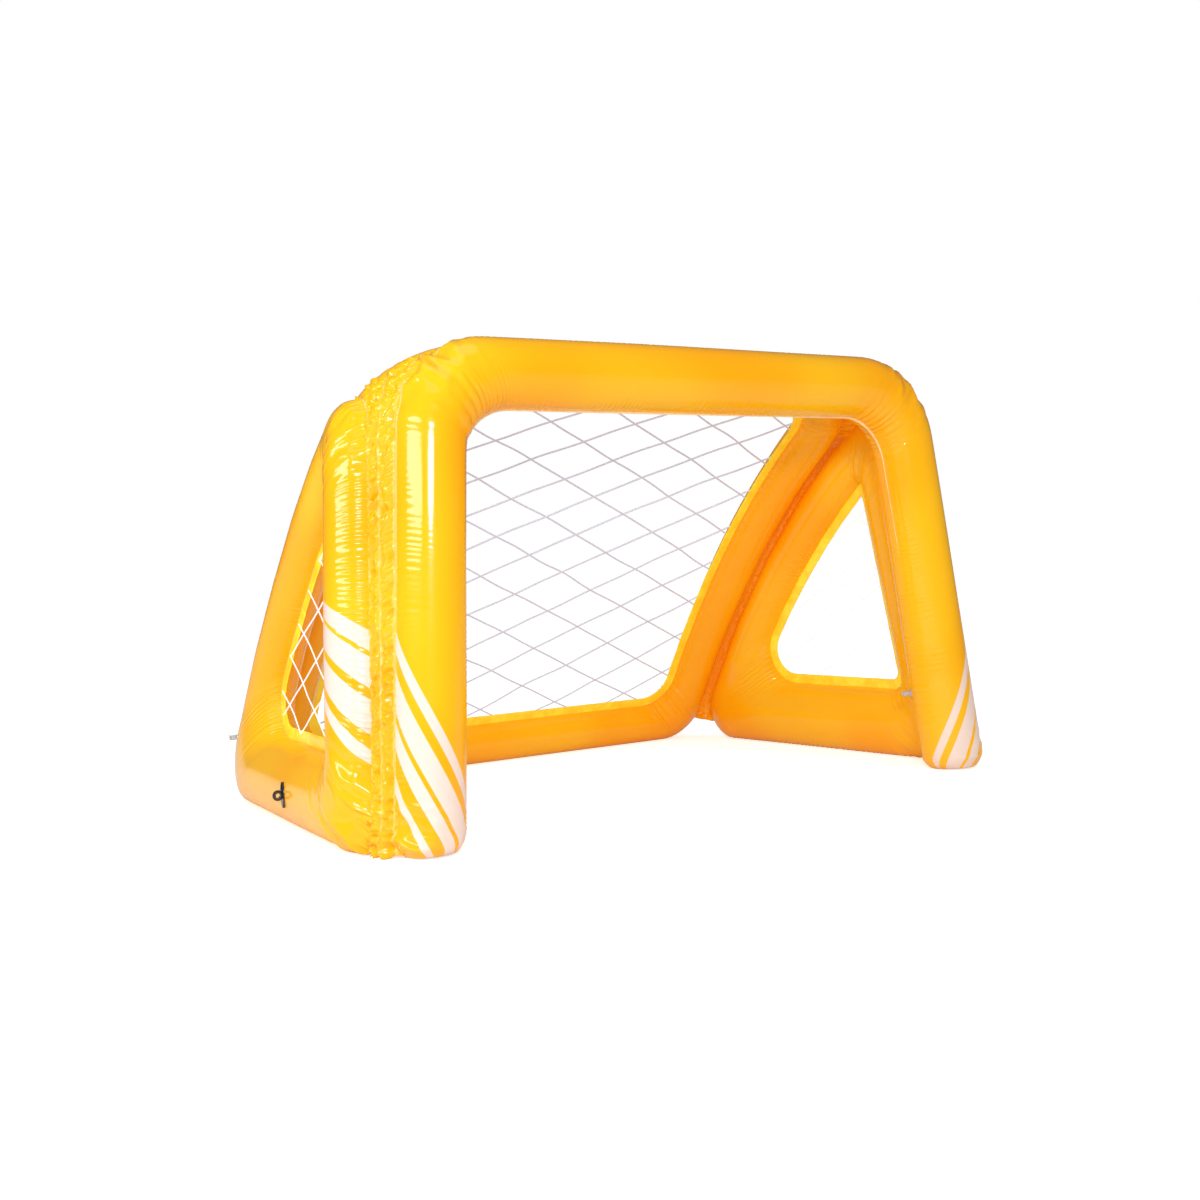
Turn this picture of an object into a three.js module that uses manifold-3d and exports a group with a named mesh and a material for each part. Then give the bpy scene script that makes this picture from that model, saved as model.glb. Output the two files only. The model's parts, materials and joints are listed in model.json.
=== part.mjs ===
// Inflatable water polo goal
// Millimetres. The goal stands on the plane z = 0, its mouth faces -Y, and X runs across the mouth.
// Four welded air chambers carry it: an arch round the mouth, a sloping ring behind and a ring on each side.
// Each chamber is two flat vinyl sheets welded along an outer and an inner line and blown up between them, so
// its sections are drawn between those two lines on the panel that the sheets were cut for.

import * as THREE from "three";
import { mergeVertices } from "three/addons/utils/BufferGeometryUtils.js";
import Module from "manifold-3d";

const wasm = await Module();
wasm.setup();

// Overall size, blown up
const WIDTH = 1400;
const DEPTH = 890;
const HEIGHT = 810;

// Air tubes, by their diameters when full
const FRONT_TUBE = 116;
const REAR_TUBE = 94;
const SIDE_TUBE = 112;
const SIDE_BASE_TUBE = 138;
const SIDE_BACK_TUBE = 92;
const SIDE_BACK_DEPTH = 86;

// Leans and splays, each over the whole height or depth
const CROSSBAR_DROP = 8;
const POST_SPLAY = 70;
const POST_LEAN = 67;
const TOE_IN = 84;
const BOW_BACK = 36;
const BOW_UP = 133;

// Outer weld lines: how far apart neighbouring chambers are held
const SEAM_ACROSS = 22;
const SEAM_FOOT = 30;
const SEAM_HEAD = 69;
const SEAM_BACK = 23;
const TOP_GAP = 1.5;

// Corners, by the radius of each weld line
const ARCH_TURN = 160;
const ARCH_INNER_TURN = 92;
const REAR_HEAD_TURN = 205;
const REAR_INNER_HEAD_TURN = 110;
const REAR_FOOT_TURN = 90;
const REAR_INNER_FOOT_TURN = 75;
const SIDE_TOE_TURN = 55;
const SIDE_INNER_TOE_TURN = 36;
const SIDE_HEEL_TURN = 66;
const SIDE_INNER_HEEL_TURN = 70;
const SIDE_PEAK_TURN = 60;
const SIDE_INNER_PEAK_TURN = 14;
const FOOT_ROUND = 42;

// Vinyl sheets and welds
const CLEARANCE = 0.3;
const WALL = 3;
const FLAT = 2;
const SEAM_SHEET = 2;
const SEAM_RIDGE = 4;
const SEAM_ROOT = 5;
const FLANGE_SHEET = 1.6;
const FLANGE = 20;
const OVERRUN = 40;

// Nets
const CORD = 3;
const NET_LAP = 11;
const BOW_SAG = 0.5;
const CORD_SPAN = 100;
const CORD_OVER = 1;
const REAR_MESH_ACROSS = 189;
const REAR_MESH_UP = 98.5;
const REAR_KNOT_ACROSS = 54;
const REAR_KNOT_UP = 183;
const SIDE_MESH_ACROSS = 147;
const SIDE_MESH_UP = 86;
const SIDE_KNOT_BACK = 54;
const SIDE_KNOT_UP = 282;

// Air valves
const STEM = 9.6;
const STEM_BORE = 6;
const STEM_RISE = 17.4;
const STEM_TRAVEL = 12;
const STEM_DROP = 15;
const STEM_STOP = 14;
const STEM_STOP_THICK = 1.4;
const COLLAR = 24;
const COLLAR_THICK = 1.6;
const COLLAR_NECK = 15;
const COLLAR_NECK_RISE = 1;
const COLLAR_ROOT = 2.4;
const PLUG_HEAD = 10;
const PLUG_HEAD_THICK = 2.2;
const PLUG_SHANK = 5.4;
const PLUG_TIP = 2.6;
const PLUG_LENGTH = 4;
const STRAP_WIDTH = 3.6;
const STRAP_HINGE = 6.6;
const STRAP_END = 0.8;
const FLAP = 8;
const FLAP_THICK = 0.6;

// Tether eyelets
const PATCH_LENGTH = 44;
const PATCH_WIDTH = 15;
const PATCH_THICK = 1.6;
const PATCH_ROOT = 3;
const LUG = 18;
const LUG_THICK = 3;
const GROMMET_BORE = 7.6;
const GROMMET_WALL = 0.8;
const GROMMET_RIM = 12.4;
const GROMMET_RIM_THICK = 0.7;
const EYE = GROMMET_BORE + 2 * (GROMMET_WALL + CLEARANCE);
const LUG_STAND = PATCH_THICK + GROMMET_RIM / 2 + 2 * CLEARANCE;

// Where the small pieces sit, as shares of a run and as turns round a tube
const FRONT_VALVE_HEIGHT = 150;
const FRONT_VALVE_TURN_SHARE = 0.34;
const REAR_VALVE_UP = 190;
const REAR_VALVE_TURN_SHARE = 0.2;
const HEEL_VALVE_SHARE = 1;
const HEEL_VALVE_TURN_SHARE = 0.125;
const EYELET_BACK = 380;
const EYELET_TURN_SHARE = 0.23;
const BACK_STOP_SHARES = [0.32, 0.5, 0.68, 0.82];
const SEAM_START_SHARE = 0.09;
const SEAM_END_SHARE = 0.82;

// Facets
const TUBE_SIDES = 16;
const CAVITY_SIDES = 8;
const ARC_STEPS = 6;
const FOOT_STEPS = 3;
const LEG_STOPS = 7;
const SEAM_STOPS = 8;
const SMALL_SIDES = 14;
const HALVINGS = 40;
const PROBE = 1;

const VINYL = { color: 0xffb81c, roughness: 0.16, metalness: 0 };
const WELD = { color: 0xf2a310, roughness: 0.28, metalness: 0 };
const NET_CORD = { color: 0xf4f2f4, roughness: 0.75, metalness: 0 };
const CLEAR = { color: 0xdfe6ea, roughness: 0.12, metalness: 0, transparent: true, opacity: 0.6 };
const BLACK = { color: 0x17181a, roughness: 0.4, metalness: 0 };
const STEEL = { color: 0xc9ccd0, roughness: 0.25, metalness: 1 };

// Small helpers
const flat = (x, y) => new THREE.Vector2(x, y);
const at = (x, y, z) => new THREE.Vector3(x, y, z);
const mix = THREE.MathUtils.lerp;
const turn = (share) => 2 * Math.PI * share;

function solve(low, high, test) {
  let [a, b] = [low, high];
  for (let i = 0; i < HALVINGS; i += 1) {
    const middle = (a + b) / 2;
    if (test(middle) === test(a)) a = middle;
    else b = middle;
  }
  return (a + b) / 2;
}

function solidOf(geometry) {
  const bare = geometry.clone();
  bare.deleteAttribute("normal");
  bare.deleteAttribute("uv");
  const merged = mergeVertices(bare);
  return new wasm.Manifold(
    new wasm.Mesh({
      numProp: 3,
      vertProperties: new Float32Array(merged.attributes.position.array),
      triVerts: new Uint32Array(merged.index.array),
    }),
  );
}

function geometryOf(solid) {
  const mesh = solid.getMesh();
  const geometry = new THREE.BufferGeometry();
  geometry.setAttribute("position", new THREE.BufferAttribute(mesh.vertProperties, mesh.numProp));
  geometry.setIndex(new THREE.BufferAttribute(mesh.triVerts, 1));
  return geometry;
}

// Turns the faces outwards if a mirrored panel has left them facing in
function outward(geometry) {
  const whole = geometry.index ? geometry : mergeVertices(geometry);
  const [place, index] = [whole.attributes.position, whole.index.array];
  const [a, b, c] = [at(0, 0, 0), at(0, 0, 0), at(0, 0, 0)];
  let volume = 0;
  for (let i = 0; i < index.length; i += 3) {
    a.fromBufferAttribute(place, index[i]);
    b.fromBufferAttribute(place, index[i + 1]);
    c.fromBufferAttribute(place, index[i + 2]);
    volume += a.dot(b.cross(c));
  }
  if (volume < 0) {
    for (let i = 0; i < index.length; i += 3) [index[i], index[i + 1]] = [index[i + 1], index[i]];
  }
  return whole;
}

// Skins a row of sections, each with the same number of points. The second half of a section mirrors the first,
// and so do the diagonals, so that the two faces of a thin twisted sheet stay apart. The end caps fan out from
// the section's hub, a point that sees all the others.
function loft(rings, closed, hub = 0) {
  const sides = rings[0].length;
  const index = [];
  rings.slice(closed ? 0 : 1).forEach((_, i) => {
    const near = i * sides;
    const far = ((i + 1) % rings.length) * sides;
    for (let j = 0; j < sides; j += 1) {
      const next = (j + 1) % sides;
      if (j < sides / 2) index.push(near + j, near + next, far + next, near + j, far + next, far + j);
      else index.push(near + j, near + next, far + j, near + next, far + next, far + j);
    }
  });
  if (!closed) {
    const last = (rings.length - 1) * sides;
    for (let j = 1; j < sides - 1; j += 1) {
      const [here, next] = [(hub + j) % sides, (hub + j + 1) % sides];
      index.push(hub, next, here, last + hub, last + here, last + next);
    }
  }
  const geometry = new THREE.BufferGeometry();
  const places = rings.flat().flatMap((point) => point.toArray());
  geometry.setAttribute("position", new THREE.Float32BufferAttribute(places, 3));
  geometry.setIndex(index);
  return outward(geometry);
}

// Panels
// A panel takes a flat pattern's x and y, and a lift off the pattern, to a place on the goal. Lift points away
// from the inside of the goal.
function panel(base, facing) {
  return (x, y, lift) => {
    const across = base(x + PROBE, y).sub(base(x - PROBE, y));
    const up = base(x, y + PROBE).sub(base(x, y - PROBE));
    const out = across.cross(up).normalize();
    return base(x, y).addScaledVector(out, facing * lift);
  };
}

const frontRadius = FRONT_TUBE / 2;
const rearRadius = REAR_TUBE / 2;
const crossbarHeight = HEIGHT - CROSSBAR_DROP - frontRadius;
const splay = POST_SPLAY / crossbarHeight;
const toeIn = TOE_IN / (DEPTH - FRONT_TUBE);
const seamLean = (SEAM_HEAD - SEAM_FOOT) / crossbarHeight;

const postY = (z) => frontRadius - DEPTH / 2 + (POST_LEAN * (z - FOOT_ROUND)) / crossbarHeight;
const seamY = (z) => postY(z) + SEAM_FOOT + seamLean * z;
const sideMiddle = SIDE_BASE_TUBE / 2;
const sideX = (y, z) =>
  WIDTH / 2 -
  SIDE_TUBE / 2 -
  splay * (z - sideMiddle) -
  toeIn * (y - postY(z) - SEAM_FOOT - SIDE_TUBE / 2);
const postX = (z) => sideX(postY(z), z) - SEAM_ACROSS - frontRadius;

// The back slopes up and forwards on one bowed line, from the rear bar's middle to the top bar's
const backStart = flat(DEPTH / 2 - rearRadius, rearRadius - FLAT);
const backEnd = flat(postY(crossbarHeight) + frontRadius + TOP_GAP + rearRadius, HEIGHT - rearRadius);
const bow = flat(BOW_BACK, BOW_UP).add(backStart.clone().add(backEnd).divideScalar(2));
const backLine = new THREE.QuadraticBezierCurve(backStart, bow, backEnd);
const backLength = backLine.getLength();

function backAt(run, inset) {
  const share = THREE.MathUtils.clamp(run / backLength, 0, 1);
  const along = backLine.getTangentAt(share);
  const past = run - share * backLength;
  const inward = flat(-along.y, along.x);
  return backLine.getPointAt(share).addScaledVector(along, past).addScaledVector(inward, inset);
}

const legX = (run) => {
  const { x, y } = backAt(THREE.MathUtils.clamp(run, 0, backLength), 0);
  return sideX(x, y) - SEAM_ACROSS - rearRadius;
};

const frontPanel = panel((x, z) => at(x, postY(z), z), 1);
const rearPanel = panel((x, run) => {
  const { x: y, y: z } = backAt(run, 0);
  return at((x * legX(run)) / legX(0), y, z);
}, -1);
const sidePanel = (side) => panel((y, z) => at(side * sideX(y, z), y, z), side);

// Outlines
// Walks round an outline whose corners turn on arcs. Each corner holds the tube's depth on the edge leaving it
// and how many stops that edge gets.
function walk(corners, closed) {
  const stops = [];
  corners.forEach((corner, i) => {
    const before = corners.at(i - 1);
    const after = corners[(i + 1) % corners.length];
    const isEnd = !closed && (i === 0 || i === corners.length - 1);
    if (isEnd || !corner.turn) {
      stops.push({ at: corner.at, depth: corner.depth, stops: corner.stops });
      return;
    }
    const into = corner.at.clone().sub(before.at).normalize();
    const out = after.at.clone().sub(corner.at).normalize();
    const swing = Math.atan2(into.cross(out), into.dot(out));
    const reach = corner.turn * Math.tan(Math.abs(swing) / 2);
    const start = corner.at.clone().addScaledVector(into, -reach);
    const side = flat(-into.y, into.x).multiplyScalar(Math.sign(swing) * corner.turn);
    const centre = start.clone().add(side);
    for (let k = 0; k <= ARC_STEPS; k += 1) {
      const share = k / ARC_STEPS;
      stops.push({
        at: start.clone().rotateAround(centre, swing * share),
        depth: mix(before.depth, corner.depth, share),
        stops: k === ARC_STEPS ? corner.stops : 0,
      });
    }
  });
  return stops.flatMap((stop, i) => {
    const next = stops[(i + 1) % stops.length];
    const extra = Array.from({ length: stop.stops || 0 }, (_, k) => {
      const share = (k + 1) / (stop.stops + 1);
      return { at: stop.at.clone().lerp(next.at, share), depth: mix(stop.depth, next.depth, share) };
    });
    return [stop, ...extra];
  });
}

// The mouth's arch, from one foot over the crossbar to the other, at an inset from its outer weld line
function archRun(inset, turnRadius) {
  const half = frontRadius - inset;
  const foot = Array.from({ length: FOOT_STEPS + 1 }, (_, k) => {
    const angle = (Math.PI / 2) * (k / FOOT_STEPS);
    const z = FOOT_ROUND * (1 - Math.cos(angle));
    const tuck = FOOT_ROUND * (1 - Math.sin(angle));
    return { at: flat(postX(z) + Math.sign(half) * (Math.abs(half) - tuck), z), depth: frontRadius - tuck };
  });
  const top = crossbarHeight + half;
  const corner = { at: flat(postX(top) + half, top), depth: frontRadius, turn: turnRadius };
  const mirrored = ({ at: { x, y }, ...rest }) => ({ at: flat(-x, y), ...rest });
  const right = [...foot, corner];
  return walk([...right, ...right.map(mirrored).reverse()], false);
}

// The rear ring's outline, at an inset from its outer weld line
function rearLoop(inset, footTurn, headTurn) {
  const half = legX(0) + rearRadius - inset;
  const [low, high] = [inset - rearRadius, backLength + rearRadius - inset];
  const depth = rearRadius;
  return walk(
    [
      { at: flat(-half, low), depth, turn: footTurn },
      { at: flat(half, low), depth, turn: footTurn, stops: LEG_STOPS },
      { at: flat(half, high), depth, turn: headTurn },
      { at: flat(-half, high), depth, turn: headTurn, stops: LEG_STOPS },
    ],
    true,
  );
}

// A side ring's outline in depth and height. The insets are those of the front leg, the base and the back leg.
function sideLoop(front, base, back, turns) {
  const floor = base - FLAT;
  const [low, high] = [-rearRadius - OVERRUN, backLength + rearRadius + OVERRUN];
  const inset = SEAM_BACK + back;
  const heel = solve(low, high, (run) => backAt(run, inset).y > floor);
  const peak = solve(low, high, (run) => {
    const { x, y } = backAt(run, inset);
    return x > seamY(y) + front;
  });
  const [legDepth, backDepth] = [SIDE_TUBE / 2, SIDE_BACK_DEPTH / 2];
  return walk(
    [
      { at: flat(seamY(floor) + front, floor), depth: legDepth, turn: turns.toe, stops: 1 },
      { at: backAt(heel, inset), depth: backDepth, turn: turns.heel },
      ...BACK_STOP_SHARES.map((share) => ({ at: backAt(mix(heel, peak, share), inset), depth: backDepth })),
      { at: backAt(peak, inset), depth: legDepth, turn: turns.peak, stops: 1 },
    ],
    true,
  );
}

// Air chambers
// The sections of a chamber, each an oval between the outer and the inner weld line
function sections(outer, inner, onPanel) {
  return outer.map((stop, i) => {
    const middle = stop.at.clone().lerp(inner[i].at, 1 / 2);
    const edge = onPanel(stop.at.x, stop.at.y, 0);
    const bore = onPanel(inner[i].at.x, inner[i].at.y, 0);
    const centre = edge.clone().add(bore).divideScalar(2);
    const reach = edge.clone().sub(bore).normalize();
    const lift = onPanel(middle.x, middle.y, PROBE).sub(onPanel(middle.x, middle.y, 0)).normalize();
    return { centre, reach, lift, half: edge.distanceTo(bore) / 2, depth: stop.depth };
  });
}

function blowUp(rows, closed, sides, grow) {
  const rings = rows.map(({ centre, reach, lift, half, depth }) =>
    Array.from({ length: sides }, (_, k) => {
      const angle = turn(k / sides);
      const out = centre.clone().addScaledVector(reach, (half + grow) * Math.cos(angle));
      return out.addScaledVector(lift, (depth + grow) * Math.sin(angle));
    }),
  );
  return loft(rings, closed);
}

// A place on a chamber's skin, a share of a turn round from its outer weld line, and the way out of it there
function skinAt(row, share) {
  const [cos, sin] = [Math.cos(turn(share)), Math.sin(turn(share))];
  const point = row.centre.clone().addScaledVector(row.reach, row.half * cos);
  point.addScaledVector(row.lift, row.depth * sin);
  const out = row.reach.clone().multiplyScalar(cos / row.half);
  out.addScaledVector(row.lift, sin / row.depth).normalize();
  return { point, out };
}

const underFloor = new THREE.BoxGeometry(WIDTH * 2, DEPTH * 2, HEIGHT).translate(0, 0, -HEIGHT / 2);

// A round bore across a valve's collar, from one height over the skin to another
function drill(diameter, low, high, valve) {
  const radius = diameter / 2 + CLEARANCE;
  const round = new THREE.CylinderGeometry(radius, radius, high - low, SMALL_SIDES);
  return solidOf(round.rotateX(Math.PI / 2).translate(0, 0, (low + high) / 2).applyMatrix4(valve));
}

// The stem's stop bears on the roof of a pocket in the wall, which is deep enough for the stem's travel
function chamber(rows, closed, valve) {
  const whole = blowUp(rows, closed, TUBE_SIDES, 0);
  const inside = closed ? rows : rows.slice(FOOT_STEPS - 1, 1 - FOOT_STEPS);
  const cavity = blowUp(inside, closed, CAVITY_SIDES, -WALL);
  const roof = CLEARANCE + STEM_STOP_THICK - STEM_DROP;
  return solidOf(whole)
    .subtract(solidOf(underFloor))
    .subtract(solidOf(cavity))
    .subtract(drill(STEM, roof, COLLAR, valve))
    .subtract(drill(STEM_STOP, -STEM_DROP - STEM_TRAVEL - FLAP, roof, valve));
}

// Places a piece that is drawn with its foot at the origin and its axis along +Z
function standing({ point, out }, across) {
  const side = across.clone().addScaledVector(out, -across.dot(out)).normalize();
  const matrix = new THREE.Matrix4().makeBasis(side, out.clone().cross(side), out);
  return matrix.setPosition(point);
}

// Sheets cut flat, then bent on to their panel
function bend(geometry, onPanel) {
  const bent = geometry.clone();
  const place = bent.attributes.position;
  for (let i = 0; i < place.count; i += 1) {
    place.setXYZ(i, ...onPanel(place.getX(i), place.getY(i), place.getZ(i)));
  }
  return bent;
}

const outline = (stops) => stops.map((stop) => stop.at);

function flatSheet(outer, opening, thickness) {
  const shape = new THREE.Shape(outer);
  if (opening) shape.holes.push(new THREE.Path(opening));
  const sheet = new THREE.ExtrudeGeometry(shape, { depth: thickness, bevelEnabled: false });
  return sheet.translate(0, 0, -thickness / 2);
}

// The welded border inside a ring, which the net is fixed to
function flange(outer, inner, opening, onPanel, tube) {
  const middle = outer.map((stop, i) => stop.at.clone().lerp(inner[i].at, 1 / 2));
  const sheet = flatSheet(middle, outline(opening), FLANGE_SHEET);
  return solidOf(outward(bend(mergeVertices(bareOf(sheet)), onPanel))).subtract(tube);
}

function bareOf(geometry) {
  geometry.deleteAttribute("normal");
  geometry.deleteAttribute("uv");
  return geometry;
}

// Where a straight line crosses an outline, as distances along it
function cuts(edge, start, way) {
  const found = edge.flatMap((here, i) => {
    const side = edge[(i + 1) % edge.length].clone().sub(here);
    const gap = here.clone().sub(start);
    const share = gap.cross(way) / way.cross(side);
    return share >= 0 && share < 1 ? [gap.cross(side) / way.cross(side)] : [];
  });
  return found.sort((a, b) => a - b);
}

// Two crossing families of cords make the diamonds, one laid a little over the other. Each cord ends on the
// outline and is bent on to the panel in short spans. A cord that meets no other is dropped. The sag keeps the
// cords clear of the border's own facets.
function net(edge, knot, across, up, sag, onPanel) {
  const reach = Math.max(...edge.map((point) => point.distanceTo(knot)));
  const angle = Math.atan2(up, across);
  const step = across * Math.sin(angle);
  const count = Math.ceil(reach / step);
  let cords = null;
  for (const family of [1, -1]) {
    const way = flat(1, 0).rotateAround(flat(0, 0), family * angle);
    for (let i = -count; i <= count; i += 1) {
      const start = knot.clone().add(flat(-way.y, way.x).multiplyScalar(step * i));
      const [low, high] = cuts(edge, start, way);
      if (high === undefined || high - low < CORD) continue;
      const cord = new THREE.BoxGeometry(high - low, CORD, CORD, Math.ceil((high - low) / CORD_SPAN));
      cord.translate((low + high) / 2, 0, (FLANGE_SHEET + CORD) / 2 + CLEARANCE + sag);
      cord.rotateZ(family * angle).translate(start.x, start.y, family > 0 ? CORD_OVER : 0);
      const bent = solidOf(outward(mergeVertices(bareOf(bend(cord, onPanel)))));
      cords = cords ? cords.add(bent) : bent;
    }
  }
  const [whole] = cords.decompose().sort((a, b) => b.volume() - a.volume());
  return whole;
}

// A seam joins the outer weld lines of two chambers, with a low ridge where their borders are welded together
const heart = at(0, 0, HEIGHT / 2);

function seam(railA, railB, skins) {
  const rings = railA.map((a, i) => {
    const b = railB[i];
    const along = railA[Math.min(i + 1, railA.length - 1)].clone().sub(railA[Math.max(i - 1, 0)]);
    const up = b.clone().sub(a).cross(along).setLength(SEAM_SHEET / 2);
    if (up.dot(a.clone().sub(heart)) < 0) up.negate();
    const ridge = a.clone().lerp(b, 1 / 2).addScaledVector(up, SEAM_RIDGE / up.length());
    const rail = [a, ridge, b];
    const lower = rail.map((point) => point.clone().sub(up)).reverse();
    return [...rail.map((point) => point.clone().add(up)), ...lower];
  });
  const sheet = solidOf(loft(rings, false, rings[0].length - 2));
  return skins.reduce((rest, skin) => rest.subtract(skin), sheet);
}

// The stops of a seam that leaves both ends of a run free
const stopsBetween = (length) =>
  Array.from({ length: SEAM_STOPS + 1 }, (_, k) => length * mix(SEAM_START_SHARE, SEAM_END_SHARE, k / SEAM_STOPS));

// The goal's group
const goal = new THREE.Group();
goal.name = "water_polo_goal";

function add(name, shape, finish, matrix) {
  const geometry = shape.isBufferGeometry ? shape : geometryOf(shape);
  const mesh = new THREE.Mesh(geometry, new THREE.MeshStandardMaterial(finish));
  mesh.name = name;
  if (matrix) mesh.applyMatrix4(matrix);
  goal.add(mesh);
}

// Air valve
// A collar is welded to the skin. The stem slides in its neck, with a stop below it. A plug on a strap closes the
// stem, and a flap under its bore keeps the air in while it is open.
const revolve = (profile) =>
  new THREE.LatheGeometry(
    profile.map(([x, y]) => flat(x, y)),
    SMALL_SIDES,
  ).rotateX(Math.PI / 2);

function valveStem() {
  const [outer, bore, stop] = [STEM / 2, STEM_BORE / 2, STEM_STOP / 2];
  const tail = -STEM_DROP;
  const profile = [
    [bore, tail],
    [stop, tail],
    [stop, tail + STEM_STOP_THICK],
    [outer, tail + STEM_STOP_THICK],
    [outer, STEM_RISE],
    [bore, STEM_RISE],
    [bore, tail],
  ];
  return outward(mergeVertices(bareOf(revolve(profile))));
}

function valveCollar(tube, place) {
  const [rim, neck, bore] = [COLLAR / 2, COLLAR_NECK / 2, STEM / 2 + CLEARANCE];
  const profile = [
    [bore, -COLLAR_ROOT],
    [rim, -COLLAR_ROOT],
    [rim, COLLAR_THICK],
    [neck, COLLAR_THICK],
    [neck, COLLAR_THICK + COLLAR_NECK_RISE],
    [bore, COLLAR_THICK + COLLAR_NECK_RISE],
    [bore, -COLLAR_ROOT],
  ];
  const collar = outward(mergeVertices(bareOf(revolve(profile)))).applyMatrix4(place);
  return solidOf(collar).subtract(tube);
}

function valvePlug() {
  const [head, shank, tip] = [PLUG_HEAD / 2, PLUG_SHANK / 2, PLUG_TIP / 2];
  const foot = STEM_RISE + CLEARANCE;
  const profile = [
    [0, foot - PLUG_LENGTH],
    [tip, foot - PLUG_LENGTH],
    [shank, foot - CLEARANCE],
    [shank, foot],
    [head, foot],
    [head, foot + PLUG_HEAD_THICK],
    [0, foot + PLUG_HEAD_THICK],
  ];
  const strap = new THREE.BoxGeometry(STRAP_HINGE + STRAP_END, STRAP_WIDTH, PLUG_HEAD_THICK);
  strap.translate((STRAP_HINGE + STRAP_END) / 2, 0, foot + PLUG_HEAD_THICK / 2);
  return solidOf(outward(mergeVertices(bareOf(revolve(profile))))).add(solidOf(strap));
}

function valveFlap() {
  const flap = new THREE.CylinderGeometry(FLAP / 2, FLAP / 2, FLAP_THICK, SMALL_SIDES);
  return flap.rotateX(Math.PI / 2).translate(0, 0, -STEM_DROP - CLEARANCE - FLAP_THICK / 2);
}

function addValve(name, place, tube) {
  add(`${name}_valve_collar`, valveCollar(tube, place), CLEAR);
  add(`${name}_valve_stem`, valveStem(), CLEAR, place);
  add(`${name}_valve_plug`, valvePlug(), CLEAR, place);
  add(`${name}_valve_flap`, valveFlap(), CLEAR, place);
}

// Tether eyelet
// A pointed patch is welded to the side ring's base tube. Its lug stands out of it with a grommet in its eye.
function eyeletTab(tube, place) {
  const half = PATCH_LENGTH / 2;
  const lens = new THREE.Shape();
  lens.moveTo(0, -half);
  lens.quadraticCurveTo(PATCH_WIDTH, 0, 0, half);
  lens.quadraticCurveTo(-PATCH_WIDTH, 0, 0, -half);
  const patch = new THREE.ExtrudeGeometry(lens, {
    depth: PATCH_THICK + PATCH_ROOT,
    bevelEnabled: false,
    curveSegments: SMALL_SIDES / 2,
  });
  patch.translate(0, 0, -PATCH_ROOT);
  const eye = new THREE.CylinderGeometry(LUG / 2, LUG / 2, LUG_THICK, SMALL_SIDES);
  eye.rotateZ(Math.PI / 2).translate(0, 0, LUG_STAND);
  const hole = new THREE.CylinderGeometry(EYE / 2, EYE / 2, LUG, SMALL_SIDES).rotateZ(Math.PI / 2);
  hole.translate(0, 0, LUG_STAND);
  return solidOf(bareOf(patch).applyMatrix4(place))
    .add(solidOf(eye.applyMatrix4(place)))
    .subtract(solidOf(hole.applyMatrix4(place)))
    .subtract(tube);
}

function grommet() {
  const [bore, barrel, rim] = [GROMMET_BORE / 2, GROMMET_BORE / 2 + GROMMET_WALL, GROMMET_RIM / 2];
  const seat = LUG_THICK / 2 + CLEARANCE;
  const face = seat + GROMMET_RIM_THICK;
  const profile = [
    [bore, -face],
    [rim, -face],
    [rim, -seat],
    [barrel, -seat],
    [barrel, seat],
    [rim, seat],
    [rim, face],
    [bore, face],
    [bore, -face],
  ];
  const ring = outward(mergeVertices(bareOf(revolve(profile))));
  return ring.rotateY(Math.PI / 2).translate(0, 0, LUG_STAND);
}

// Mouth arch
const archOuter = archRun(0, ARCH_TURN);
const archInner = archRun(FRONT_TUBE, ARCH_INNER_TURN);
const archRows = sections(archOuter, archInner, frontPanel);
const archSkin = solidOf(blowUp(archRows, false, TUBE_SIDES, CLEARANCE));
const footY = postY(FRONT_VALVE_HEIGHT);
const archValveRow = {
  ...archRows[FOOT_STEPS],
  centre: at(postX(FRONT_VALVE_HEIGHT), footY, FRONT_VALVE_HEIGHT),
};
const archValve = standing(skinAt(archValveRow, -FRONT_VALVE_TURN_SHARE), at(0, 0, 1));
add("front_arch", chamber(archRows, false, archValve), VINYL);

// Rear ring, its border and its net
const rearOuter = rearLoop(0, REAR_FOOT_TURN, REAR_HEAD_TURN);
const rearInner = rearLoop(REAR_TUBE, REAR_INNER_FOOT_TURN, REAR_INNER_HEAD_TURN);
const rearRows = sections(rearOuter, rearInner, rearPanel);
const rearSkin = solidOf(blowUp(rearRows, true, TUBE_SIDES, CLEARANCE));
const rearHole = rearLoop(
  REAR_TUBE + FLANGE,
  REAR_INNER_FOOT_TURN - FLANGE,
  REAR_INNER_HEAD_TURN - FLANGE,
);
const rearNetEdge = rearLoop(
  REAR_TUBE + FLANGE - NET_LAP,
  REAR_INNER_FOOT_TURN - FLANGE + NET_LAP,
  REAR_INNER_HEAD_TURN - FLANGE + NET_LAP,
);
const legMiddle = rearPanel(legX(0), REAR_VALVE_UP, 0);
const rearValveRow = {
  centre: legMiddle,
  reach: at(1, 0, 0),
  lift: rearPanel(legX(0), REAR_VALVE_UP, PROBE).sub(legMiddle).normalize(),
  half: rearRadius,
  depth: rearRadius,
};
const rearValve = standing(skinAt(rearValveRow, REAR_VALVE_TURN_SHARE), at(0, 0, 1));
add("rear_ring", chamber(rearRows, true, rearValve), VINYL);
add("rear_net_border", flange(rearOuter, rearInner, rearHole, rearPanel, rearSkin), WELD);
const rearKnot = flat(-REAR_KNOT_ACROSS, REAR_KNOT_UP);
const rearNet = net(outline(rearNetEdge), rearKnot, REAR_MESH_ACROSS, REAR_MESH_UP, BOW_SAG, rearPanel);
add("rear_net", rearNet, NET_CORD);
addValve("rear", rearValve, rearSkin);

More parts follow.
